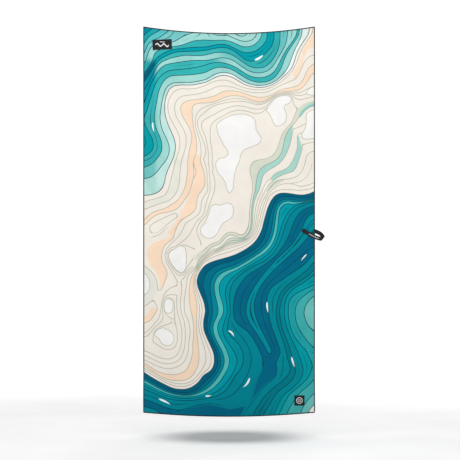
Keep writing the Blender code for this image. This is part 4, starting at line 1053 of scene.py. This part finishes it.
# woven label with rounded corners, on the front
def makeLabel(name, shape):
    bpy.ops.mesh.primitive_cube_add(size=1)
    made = bpy.context.object
    made.name = name
    made.data.name = name
    editWhole()
    bpy.ops.transform.resize(value=(shape["size"][0], label["thickness"], shape["size"][1]),
                             center_override=(0, 0, 0))
    bpy.ops.object.mode_set(mode="OBJECT")
    for edge in made.data.edges:
        ends = [made.data.vertices[i].co for i in edge.vertices]
        edge.select = abs(ends[0].y - ends[1].y) > label["thickness"] / 2
    bpy.ops.object.mode_set(mode="EDIT")
    bpy.ops.mesh.select_mode(type="EDGE")
    bpy.ops.mesh.bevel(offset=label["cornerRadius"], segments=6)
    bpy.ops.mesh.select_all(action="SELECT")
    bpy.ops.mesh.bevel(offset=label["softEdge"], segments=2)
    bpy.ops.mesh.select_all(action="SELECT")
    bpy.ops.transform.rotate(value=-shape["turn"], orient_axis="Y", center_override=(0, 0, 0))
    level = label["level"] + label["thickness"] / 2
    bpy.ops.transform.translate(value=(shape["centre"][0], front * level, shape["centre"][1]))
    bpy.ops.object.mode_set(mode="OBJECT")
    bpy.ops.object.shade_smooth_by_angle(angle=math.radians(40))
    return made


# points and faces of one short thread along x, with rounded ends
def thinRod(radius, length, sides=6):
    rings = ((-0.5, 0.35), (-0.38, 0.9), (0.38, 0.9), (0.5, 0.35))
    points = []
    for along, wide in rings:
        for side in range(sides):
            angle = 2 * math.pi * side / sides
            points.append((along * length, wide * radius * math.cos(angle), wide * radius * math.sin(angle)))
    faces = [tuple(range(sides))[::-1], tuple(range(3 * sides, 4 * sides))]
    for ring in range(3):
        for side in range(sides):
            after = (side + 1) % sides
            low, high = ring * sides, (ring + 1) * sides
            faces.append((low + side, low + after, high + after, high + side))
    return np.array(points), faces


# one mesh from many placed copies of a small shape
def joinCopies(name, template, faces, placements):
    points, allFaces = [], []
    for index, placement in enumerate(placements):
        turned = template @ np.array(placement.to_3x3()).T + np.array(placement.translation)
        points.append(turned)
        allFaces += [tuple(corner + index * len(template) for corner in face) for face in faces]
    mesh = bpy.data.meshes.new(name)
    mesh.from_pydata(np.concatenate(points).tolist(), [], allFaces)
    made = bpy.data.objects.new(name, mesh)
    bpy.context.collection.objects.link(made)
    mesh.shade_smooth()
    return made


# places at even steps along straight runs, each with its direction
def evenPoints(points, pitch, closed=False):
    path = [Vector(point) for point in points]
    if closed:
        path.append(path[0])
    total = sum((b - a).length for a, b in zip(path, path[1:]))
    count = max(1, round(total / pitch))
    found, wanted, passed = [], total / count / 2, 0.0
    for a, b in zip(path, path[1:]):
        length = (b - a).length
        while wanted <= passed + length and len(found) < count:
            found.append((a + (b - a) * ((wanted - passed) / length), (b - a).normalized()))
            wanted += total / count
        passed += length
    return found


# short visible stitches in a row
def stitchesAlong(name, points, outside, closed=False):
    template, faces = thinRod(label["threadRadius"], label["stitchLength"])
    placements = []
    for place, along in evenPoints(points, label["stitchPitch"], closed):
        across = outside.cross(along).normalized()
        axes = Matrix((along, across, outside)).transposed().to_4x4()
        placements.append(Matrix.Translation(place) @ axes)
    return joinCopies(name, template, faces, placements)


def labelStitches(name, shape):
    half = [side / 2 - label["stitchInset"] for side in shape["size"]]
    soft = 1.2 * mm
    corners = []
    for across, up in ((1, 1), (-1, 1), (-1, -1), (1, -1)):
        first = (across * half[0], up * (half[1] - soft))
        second = (across * (half[0] - soft), up * half[1])
        corners += [first, second] if across == up else [second, first]
    level = label["level"] + label["thickness"] + label["threadRadius"] * 0.7
    cosine, sine = math.cos(shape["turn"]), math.sin(shape["turn"])
    points = []
    for x, z in corners:
        points.append((shape["centre"][0] + x * cosine - z * sine, front * level,
                       shape["centre"][1] + x * sine + z * cosine))
    return stitchesAlong(name, points, Vector((0, -1, 0)), closed=True)


careLabel = {
    "size": (32 * mm, 48 * mm),
    "x": -0.29,
    "top": -0.063,
    "seamGap": 0.495 * mm,
    "near": 0.8 * mm,
    "thickness": 0.4 * mm,
    "curl": 2.2 * mm,
    # darker in the weave's painted shade, lighter on its crests
    "white": ("#e2e1dd", "#f7f7f4"),
    "ink": "#7b7c80",
}


# satin tab whose free end stands slightly away from the cloth
def makeCareTab():
    made = makeGrid("careTab", 16, 30)
    across, down = gridPlaces(made)
    x = careLabel["x"] + (across - 0.5) * careLabel["size"][0]
    y = careLabel["near"] + careLabel["thickness"] / 2 + careLabel["curl"] * down**2
    y = y + 0.5 * mm * down * np.cos((across - 0.5) * math.pi)
    putVertices(made, x, y, careLabel["top"] - careLabel["seamGap"] - down * careLabel["size"][1])
    putMap(made, across * careLabel["size"][0], (1 - down) * careLabel["size"][1])
    thicken(made, careLabel["thickness"])
    return made


def thicken(made, thickness, softEdge=0.0):
    solid = made.modifiers.new("thickness", "SOLIDIFY")
    solid.thickness = thickness
    solid.offset = 0
    bpy.context.view_layer.objects.active = made
    bpy.ops.object.modifier_apply(modifier=solid.name)
    if softEdge:
        soft = made.modifiers.new("softEdge", "BEVEL")
        soft.width = softEdge
        soft.segments = 2
        soft.angle_limit = math.radians(60)
        bpy.ops.object.modifier_apply(modifier=soft.name)
    bpy.ops.object.shade_smooth_by_angle(angle=math.radians(50))


creaseAngle = math.radians(51)
strap = {
    "width": 18.5 * mm,
    "thickness": 1.3 * mm,
    "radius": 5.45 * mm,
    "centre": Vector((0.434, 0, -0.986)),
    "crease": Vector((math.cos(creaseAngle), 0, math.sin(creaseAngle))),
    "outward": Vector((math.sin(creaseAngle), 0, -math.cos(creaseAngle))),
    "slant": math.radians(33),
    "hingeGap": 0.5 * mm,
    "backEnd": Vector((0.372, 0, -0.944)),
    "backSlope": math.radians(20),
    "frontEnd": Vector((0.341, 0, -0.949)),
    "frontSlope": math.radians(28.5),
    "backLevel": 1.1 * mm,
    "legRows": 30,
    "foldRows": 10,
    "columns": 10,
    # each pair: darker in the weave's painted shade, lighter on its crests
    "black": ("#060709", "#26282c"),
    "dashes": ("#8d8e8e", "#d6d6d4"),
}


# rows across one leg from the fold inwards: middle, across, lengths along and slant
def legRows(side, end, slope):
    outward, crease, slant = strap["outward"], strap["crease"], strap["slant"]
    advance = math.pi * strap["radius"] * math.tan(slant)
    start = strap["centre"] - outward * strap["hingeGap"] + crease * side * advance / 2
    leaving = -outward * math.cos(slant) + crease * side * math.sin(slant)
    arriving = Vector((-math.cos(slope), 0, math.sin(slope)))
    reach = (end - start).length
    handles = (start, start + leaving * reach * 0.27, end - arriving * reach * 0.52, end)
    line = []
    for step in range(strap["legRows"] + 1):
        t = step / strap["legRows"]
        weights = ((1 - t) ** 3, 3 * t * (1 - t) ** 2, 3 * t * t * (1 - t), t**3)
        line.append(sum((point * weight for point, weight in zip(handles, weights)), Vector()))
    rows, travelled = [], strap["hingeGap"] / math.cos(slant)
    for index, point in enumerate(line):
        before, after = line[max(index - 1, 0)], line[min(index + 1, len(line) - 1)]
        if index:
            travelled += (point - line[index - 1]).length
        along = (after - before).normalized()
        across = Vector((along.z, 0, -along.x))
        cut = 1 - min(index / 9, 1) ** 0.8
        across = across.lerp(crease / crease.dot(across), cut)
        rows.append((point, across, travelled, cut))
    return rows


# rows across the whole strap, from its back end round the fold to its front end
def strapRows():
    outward, crease, radius = strap["outward"], strap["crease"], strap["radius"]
    halfFold = math.pi * radius / 2 / math.cos(strap["slant"])
    through = Vector((0, 1, 0))
    backRows = legRows(1, strap["backEnd"], strap["backSlope"])
    run = (strap["centre"] - strap["backEnd"]).dot(outward)
    rise = radius - strap["backLevel"] - strap["thickness"] / 2
    tilt = Matrix.Rotation(math.atan2(rise, run), 3, crease)
    pivot = strap["centre"] + through * radius
    rows = []
    for point, across, travelled, cut in reversed(backRows):
        place = pivot + tilt @ (point + through * radius - pivot)
        rows.append((place, tilt @ across, -halfFold - travelled, cut))
    backCount = len(rows)
    for step in range(strap["foldRows"] * 4 + 1):
        angle = math.pi * step / (strap["foldRows"] * 4)
        place = strap["centre"] + outward * radius * math.sin(angle) + through * radius * math.cos(angle)
        place = place + crease * math.pi * radius * math.tan(strap["slant"]) * (0.5 - angle / math.pi)
        across = crease / math.cos(strap["slant"])
        rows.append((place, across, (angle - math.pi / 2) * radius / math.cos(strap["slant"]), 1.0))
    for point, across, travelled, cut in legRows(-1, strap["frontEnd"], strap["frontSlope"]):
        rows.append((point - through * radius, across, halfFold + travelled, cut))
    return rows, backCount


def strapPiece(name, rows):
    made = makeGrid(name, strap["columns"], len(rows) - 1)
    across, down = gridPlaces(made)
    index = np.rint(down * (len(rows) - 1)).astype(int)
    middles = np.array([row[0] for row in rows])[index]
    sideways = np.array([row[1] for row in rows])[index]
    offset = (across - 0.5) * strap["width"]
    places = middles + sideways * offset[:, None]
    putVertices(made, *places.T)
    along = np.array([row[2] for row in rows])[index]
    cut = np.array([row[3] for row in rows])[index]
    putMap(made, along - offset * math.tan(strap["slant"]) * cut, offset)
    thicken(made, strap["thickness"], 0.22 * mm)
    return made


# one tape in three pieces that meet 45 and 135 degrees round the fold
def makeStrap():
    rows, backCount = strapRows()
    quarter = strap["foldRows"]
    first = strapPiece("strapBack", rows[: backCount + quarter + 1])
    second = strapPiece("strapTip", rows[backCount + quarter : backCount + 3 * quarter + 1])
    third = strapPiece("strapFront", rows[backCount + 3 * quarter :])
    outward, radius, through = strap["outward"], strap["radius"], Vector((0, 1, 0))
    bends = (
        (first, "towel", "strap_fold_back", through * radius, outward * -mm),
        (second, "strap_fold_back", "strap_fold_front", outward * radius, through * mm),
        (third, "strap_fold_front", "strap_flap", through * -radius, outward * mm),
    )
    for piece, before, after, hinge, step in bends:
        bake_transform(piece)
    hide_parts("strap_back_leg")
    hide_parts("strap_fold_back", "strap_fold_front")
    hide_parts("strap_front_leg")
    return first, second, third


snapCap = {
    "radius": 5.6 * mm,
    "rim": 0.4 * mm,
    "dome": 0.9 * mm,
    "gap": 0.3 * mm,
    "fromEnd": 9.5 * mm,
    "steps": 48,
    "enamel": ("#17181b", "#232529"),
}


# domed cap on the front of the strap, turned from its outline
def makeSnapCap():
    inwards = Vector((-math.cos(strap["frontSlope"]), 0, math.sin(strap["frontSlope"])))
    centre = strap["frontEnd"] - inwards * snapCap["fromEnd"]
    base = strap["radius"] + strap["thickness"] / 2 + snapCap["gap"]
    radius, rim, dome = snapCap["radius"], snapCap["rim"], snapCap["dome"]
    # from the middle of the dome to its foot, as parts of the radius and the dome
    outline = [(0, 1), (0.3, 0.94), (0.55, 0.76), (0.75, 0.5), (0.86, 0.36), (0.93, 0.3)]
    outline = [(out * radius, rim + up * dome) for out, up in outline]
    # round the rim and in below it, as parts of the radius and the rim
    under = ((0.98, 0.8), (1, 0.5), (0.98, 0.15), (0.94, 0), (0, 0))
    outline += [(out * radius, up * rim) for out, up in under]
    mesh = bpy.data.meshes.new("snapCap")
    mesh.from_pydata([(r, 0, h) for r, h in outline], [(i, i + 1) for i in range(len(outline) - 1)], [])
    made = bpy.data.objects.new("snapCap", mesh)
    bpy.context.collection.objects.link(made)
    bpy.ops.object.select_all(action="DESELECT")
    bpy.context.view_layer.objects.active = made
    made.select_set(True)
    turned = made.modifiers.new("turned", "SCREW")
    turned.steps = snapCap["steps"]
    turned.render_steps = snapCap["steps"]
    turned.use_merge_vertices = True
    turned.merge_threshold = 0.01 * mm
    bpy.ops.object.modifier_apply(modifier=turned.name)
    editWhole()
    bpy.ops.mesh.remove_doubles(threshold=0.01 * mm)
    bpy.ops.mesh.normals_make_consistent(inside=False)
    bpy.ops.transform.rotate(value=math.pi / 2, orient_axis="X", center_override=(0, 0, 0))
    bpy.ops.object.mode_set(mode="OBJECT")
    flip = made.data.vertices[0].co.y  # the dome's top comes first and has to face the front
    made.data.transform(Matrix.Scale(-1 if flip > 0 else 1, 4, Vector((0, 1, 0))))
    made.data.transform(Matrix.Translation(centre - Vector((0, base, 0))))
    editWhole()
    bpy.ops.mesh.normals_make_consistent(inside=False)
    bpy.ops.object.mode_set(mode="OBJECT")
    bpy.ops.object.shade_smooth_by_angle(angle=math.radians(35))
    return made


overlock = {
    "pitch": 2.9 * mm,
    "reach": 3.8 * mm,
    "level": 1.4 * mm,
    "threadRadius": 0.3 * mm,
    "sides": 5,
    "cornerGap": 5 * mm,
    "colour": "#2b2d31",
}


# overlock thread wound over one edge of the cloth, a copy of one loop at each step
def makeLoops(name, edge, outsideSign):
    reach, level = overlock["reach"], overlock["level"]
    pitch, sides = overlock["pitch"], overlock["sides"]
    turn = [(-reach, -level, 0), (-reach * 0.45, -level * 1.08, 0.2), (0.5 * mm, -level * 0.95, 0.42),
            (1.15 * mm, 0, 0.5), (0.5 * mm, level * 0.95, 0.58), (-reach * 0.45, level * 1.08, 0.8),
            (-reach, level, 1.0)]
    centres = [Vector((along * pitch, across, through)) for across, through, along in turn]
    points, faces = [], []
    for index, centre in enumerate(centres):
        ahead, behind = centres[min(index + 1, len(centres) - 1)], centres[max(index - 1, 0)]
        run = (ahead - behind).normalized()
        side = run.cross(Vector((1, 0, 0))).normalized()
        lift = run.cross(side)
        for corner in range(sides):
            angle = 2 * math.pi * corner / sides
            spoke = side * math.cos(angle) + lift * math.sin(angle)
            points.append(centre + spoke * overlock["threadRadius"])
    for ring in range(len(centres) - 1):
        for corner in range(sides):
            after = (corner + 1) % sides
            low, high = ring * sides, (ring + 1) * sides
            faces.append((low + corner, low + after, high + after, high + corner))
    needle, needleFaces = thinRod(overlock["threadRadius"], pitch * 0.92, 5)
    template = np.array(points)
    for through in (-level, level):
        start = len(template)
        template = np.concatenate([template, needle + np.array([pitch / 2, -reach, through * 1.08])])
        faces += [tuple(corner + start for corner in face) for face in needleFaces]
    placements = []
    for place, along in evenPoints([(x, 0, z) for x, z in edge], pitch):
        outside = Vector((along.z, 0, -along.x)) * outsideSign
        axes = Matrix((along, outside, along.cross(outside))).transposed().to_4x4()
        placements.append(Matrix.Translation(place - along * pitch / 2) @ axes)
    return joinCopies(name, template, faces, placements)


def makeEdges():
    half = cloth["width"] / 2
    low, high = -cloth["length"] + overlock["cornerGap"], -overlock["cornerGap"]
    arch = [(x, 1 - (x / half) ** 2) for x in np.linspace(-half, half, 65)]
    top = [(x, -cloth["topSag"] * rise) for x, rise in arch]
    bottom = [(x, -cloth["length"] - cloth["bottomSag"] * rise) for x, rise in arch]
    left = [(-half, high), (-half, low)]
    right = [(half, high), (half, low)]
    return [makeLoops("loopsTop", top, -1), makeLoops("loopsBottom", bottom, 1),
            makeLoops("loopsLeft", left, 1), makeLoops("loopsRight", right, -1)]


tack = {"stitches": 22, "threadRadius": 0.22 * mm, "slant": math.radians(16)}


# zigzag thread over each bar tack
def makeTacks():
    made = []
    for name, node in (("tackThreadBack", "strap_tack_back"), ("tackThreadFront", "strap_tack_front")):
        low, high = (Vector(corner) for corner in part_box(node))
        outside = back if low.y > 0 else front
        level = (high.y if outside > 0 else low.y) + outside * 0.1 * mm
        count = tack["stitches"]
        template, faces = thinRod(tack["threadRadius"], (high.x - low.x) * 1.1)
        placements = []
        for index in range(count):
            z = low.z + (high.z - low.z) * (index + 0.5) / count
            turn = Matrix.Rotation(tack["slant"] * (1 if index % 2 else -1), 4, "Y")
            placements.append(Matrix.Translation(((low.x + high.x) / 2, level, z)) @ turn)
        made.append(joinCopies(name, template, faces, placements))
    return made


# black woven label with plain waves, and a ring where it has one
def makeLabelCloth(name, shape, weaveGroup):
    made, wires, shader = newMaterial(name, 0.75)
    turned = wires.node("ShaderNodeMapping", vector_type="TEXTURE")
    wires.plug(objectPlace(wires), turned.inputs["Vector"])
    turned.inputs["Location"].default_value = (shape["centre"][0], 0, shape["centre"][1])
    turned.inputs["Rotation"].default_value = (0, -shape["turn"], 0)
    x, _, z = wires.parts(turned.outputs[0])
    flat = wires.place(x, z)
    weave = wires.use(weaveGroup, place=flat, pitch=label["yarnPitch"])
    motif = 0.0
    for height, halfWidth, reach, rise, span in shape["waves"]:
        turns = wires.times(x, 2 * math.pi / (span * mm))
        wave = wires.times(wires.maths("SINE", turns), rise * mm)
        away = wires.size(wires.minus(wires.minus(z, height * mm), wave))
        stroke = wires.less(away, halfWidth * mm, (halfWidth + 0.25) * mm)
        ends = wires.less(wires.size(x), reach * mm, (reach + 1) * mm)
        motif = wires.larger(motif, wires.times(stroke, ends))
    if shape["ring"]:
        gap = wires.size(wires.minus(wires.vectors("LENGTH", flat), label["ringRadius"]))
        motif = wires.larger(motif, wires.less(gap, 1.3 * mm, 1.55 * mm))
    # painted shade: both colours go darker in the weave's hollows and lighter on its crests
    black = wires.shades(weave["height"], label["black"])
    white = wires.shades(weave["height"], label["white"])
    wires.plug(wires.mix(motif, black, white), shader.inputs["Base Color"])
    raised = wires.plus(weave["height"], wires.times(motif, 0.8))
    bump(wires, shader, raised, 0.12 * mm, 0.6)
    return made


def makeWebbing(weaveGroup):
    made, wires, shader = newMaterial("strapWebbing", 0.7)
    place = mapPlace(wires)
    weave = wires.use(weaveGroup, place=place, pitch=0.85 * mm)
    along, across, _ = wires.parts(place)
    # pale dashes in a row down the middle of the front leg
    dash = wires.ease(wires.maths("PINGPONG", along, 4.5 * mm), 1.2 * mm, 1.4 * mm)
    middle = wires.less(wires.size(across), 2.3 * mm, 2.55 * mm)
    reach = wires.times(wires.ease(along, 22 * mm, 23 * mm), wires.less(along, 74 * mm, 75 * mm))
    mask = wires.times(wires.times(dash, middle), reach)
    # painted shade: both colours go darker in the weave's hollows and lighter on its crests
    black = wires.shades(weave["height"], strap["black"])
    white = wires.shades(weave["height"], strap["dashes"])
    wires.plug(wires.mix(mask, black, white), shader.inputs["Base Color"])
    bump(wires, shader, weave["height"], 0.3 * mm, 0.7)
    return made


def makeSatin(weaveGroup, printed):
    made, wires, shader = newMaterial("careSatin" + ("Printed" if printed else ""), 0.38, 0.1)
    x, z, flat = facePlace(wires)
    weave = wires.use(weaveGroup, place=flat, pitch=0.3 * mm)
    # painted shade: the satin goes darker in the weave's hollows and lighter on its crests
    colour = wires.shades(weave["height"], careLabel["white"])
    if printed:
        # rows of grey marks stand for the small print
        rows = wires.ease(wires.maths("PINGPONG", z, 1.8 * mm), 1.15 * mm, 1.3 * mm)
        inside = wires.less(wires.size(wires.minus(x, careLabel["x"])), 10 * mm, 10.5 * mm)
        below = wires.less(z, -78 * mm, -77 * mm)
        words = wires.ease(wires.noise(flat, 420, 0.0), 0.36, 0.4)
        ink = wires.times(wires.times(rows, inside), wires.times(below, words))
        colour = wires.mix(ink, colour, linear(careLabel["ink"]))
    wires.plug(colour, shader.inputs["Base Color"])
    bump(wires, shader, weave["height"], 0.06 * mm, 0.5)
    return made


def makeEnamel():
    made, wires, shader = newMaterial("snapEnamel", 0.3)
    grain = wires.noise(objectPlace(wires), 900, 2.0)
    wires.plug(wires.ease(grain, 0.3, 0.7, 0.26, 0.42), shader.inputs["Roughness"])
    wires.plug(wires.shades(grain, snapCap["enamel"]), shader.inputs["Base Color"])
    shader.inputs["Metallic"].default_value = 0.7
    return made


def makeInterfacing(weaveGroup):
    made, wires, shader = newMaterial("patchInterfacing", 0.9)
    weave = wires.use(weaveGroup, place=facePlace(wires)[2], pitch=0.6 * mm)
    # painted shade: the interfacing goes darker in the weave's hollows and lighter on its crests
    wires.plug(wires.shades(weave["height"], ("#15161a", "#34363b")), shader.inputs["Base Color"])
    bump(wires, shader, weave["height"], 0.1 * mm)
    return made


# give a piece its material, its slot and, where one is given, its body
def finishPiece(piece, material, body=None, nodes=()):
    piece.data.materials.clear()
    piece.data.materials.append(material)
    if body:
        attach(piece, body)
    if nodes:
        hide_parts(*nodes)


field, slope = contourField()
print("artwork field", field.shape)
lineGroup = makeLineGroup()
glintGroup = makeGlintGroup()
weaveGroup = makeWeaveGroup()
suedeGroup = makeSuedeGroup()
face, backing = makeCloth(field, slope)
finishPiece(face, makePrint(lineGroup, glintGroup, suedeGroup), "towel", ["towel_cloth"])
finishPiece(backing, makeClothBack(suedeGroup, weaveGroup), "towel")
print("cloth", len(face.data.polygons), len(backing.data.polygons))

edgeThread = makeThread("edgeThread", overlock["colour"], weaveGroup)
sewingThread = makeThread("sewingThread", label["threadColour"], weaveGroup, 0.3 * mm)
loops = makeEdges()
for piece in loops:
    finishPiece(piece, edgeThread, "towel")
print("edge loops", [len(piece.data.polygons) for piece in loops])

for name, shape, node in (("cornerLabel", cornerLabel, "corner_label"),
                          ("squareLabel", squareLabel, "square_label")):
    woven = makeLabelCloth(name + "Weave", shape, weaveGroup)
    finishPiece(makeLabel(name, shape), woven, "towel", [node])
for name, shape, node in (("cornerStitches", cornerLabel, "corner_label_stitch"),
                          ("squareStitches", squareLabel, "square_label_stitch")):
    finishPiece(labelStitches(name, shape), sewingThread, "towel", [node])
careLow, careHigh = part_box("care_label_stitch")
careLevel = careHigh[1] - 0.25 * mm
careEnds = [(careLow[0], careLevel, -0.06), (careHigh[0], careLevel, -0.06)]
careRow = stitchesAlong("careStitches", careEnds, Vector((0, 1, 0)))
finishPiece(careRow, sewingThread, "towel", ["care_label_stitch"])
tab = makeCareTab()
finishPiece(tab, makeSatin(weaveGroup, True), "care_tab", ["care_label"])
print("labels")

webbing = makeWebbing(weaveGroup)
for piece in makeStrap():
    finishPiece(piece, webbing)
enamel = makeEnamel()
finishPiece(makeSnapCap(), enamel, "strap_flap", ["snap_cap"])
for piece in makeTacks():
    finishPiece(piece, sewingThread, "towel")
print("strap and press stud")

# nodes that show as they come from the CAD
carried = (
    (edgeThread, ["overlock_top", "overlock_bottom", "overlock_left", "overlock_right"]),
    (makeSatin(weaveGroup, False), ["care_label_seam"]),
    (sewingThread, ["strap_tack_back", "strap_tack_front"]),
    (enamel, ["snap_socket", "snap_stud", "snap_post"]),
    (makeInterfacing(weaveGroup), ["snap_patch"]),
)
for material, nodes in carried:
    for node in nodes:
        mesh = bpy.data.objects[node].data
        mesh.materials.clear()
        mesh.materials.append(material)


stage = {
    "floorSize": 60,
    "floorLevel": -1.914,
    # the floor's painted shadow: its reach and its colour
    "shade": (0.47, 0.4, 1 / 9),  # reach of the floor's shade, right, back and up
    "paintedShadowColour": "#aeb0b2",
    "paper": ("#fbfbfb", "#ffffff"),
    "camera": (0.0042, -9, -0.9487),
    "lens": 151,
    # each lamp: name, place, what it points at, size and power
    "lamps": (
        ("frontLamp", (0.3, -4.2, 0.6), (0, 0, -0.95), 3.2, 50),
        ("leftLamp", (-3.2, -2.6, 0.4), (0, 0, -0.9), 2.4, 24),
        ("overhead", (0, -0.1, 1.6), (0, 0, -1.9), 1.1, 20),
        ("backLamp", (1.6, 4.0, 0.6), (0, 0, -0.95), 3.0, 52),
    ),
}


# white floor that fades into a white sky, a camera and soft lamps
def makeStage():
    bpy.ops.mesh.primitive_plane_add(size=1)
    floor = bpy.context.object
    floor.name = "floor"
    editWhole()
    floorSize = (stage["floorSize"], stage["floorSize"], 1)
    bpy.ops.transform.resize(value=floorSize, center_override=(0, 0, 0))
    bpy.ops.transform.translate(value=(0, 0, stage["floorLevel"]))
    bpy.ops.object.mode_set(mode="OBJECT")
    paper, wires, shader = newMaterial("paperWhite", 0.95)
    shader.inputs["Specular IOR Level"].default_value = 0.05
    place = objectPlace(wires)
    grain = wires.noise(place, 3.0, 2.0)
    tone = wires.shades(wires.ease(grain, 0.3, 0.7), stage["paper"])
    # painted shadow: the floor's colour and glow go grey just under the towel
    under = wires.vectors("SUBTRACT", place, (0, 0, stage["floorLevel"]))
    under = wires.vectors("LENGTH", wires.vectors("DIVIDE", under, stage["shade"]))
    shade = wires.maths("POWER", wires.ease(under, 0.35, 1.0), 0.8)
    tone = wires.mix(shade, linear(stage["paintedShadowColour"]), tone)
    wires.plug(tone, shader.inputs["Base Color"])
    wires.plug(tone, shader.inputs["Emission Color"])
    far = wires.vectors("LENGTH", place)
    wires.plug(wires.ease(far, 2.2, 5.0, 0.18, 0.8), shader.inputs["Emission Strength"])
    floor.data.materials.append(paper)
    for name, place, target, size, power in stage["lamps"]:
        lamp = bpy.data.lights.new(name, "AREA")
        lamp.size = size
        lamp.energy = power
        made = bpy.data.objects.new(name, lamp)
        bpy.context.collection.objects.link(made)
        made.location = place
        made.rotation_euler = (Vector(target) - Vector(place)).to_track_quat("-Z", "Y").to_euler()
    sky = bpy.data.worlds.new("whiteSky")
    sky.use_nodes = True
    wires = Wiring(sky.node_tree)
    backdrop = sky.node_tree.nodes["Background"]
    backdrop.inputs["Color"].default_value = (1, 1, 1, 1)
    seen = wires.node("ShaderNodeLightPath").outputs["Is Camera Ray"]
    wires.plug(wires.ease(seen, 0.0, 1.0, 0.41, 1.1), backdrop.inputs["Strength"])
    bpy.context.scene.world = sky
    camera = bpy.data.cameras.new("frontView")
    camera.lens = stage["lens"]
    camera.sensor_width = 36
    made = bpy.data.objects.new("frontView", camera)
    bpy.context.collection.objects.link(made)
    made.location = stage["camera"]
    made.rotation_euler = (math.pi / 2, 0, 0)
    bpy.context.scene.camera = made
    bpy.context.scene.view_settings.view_transform = "Standard"


makeStage()
print("stage")
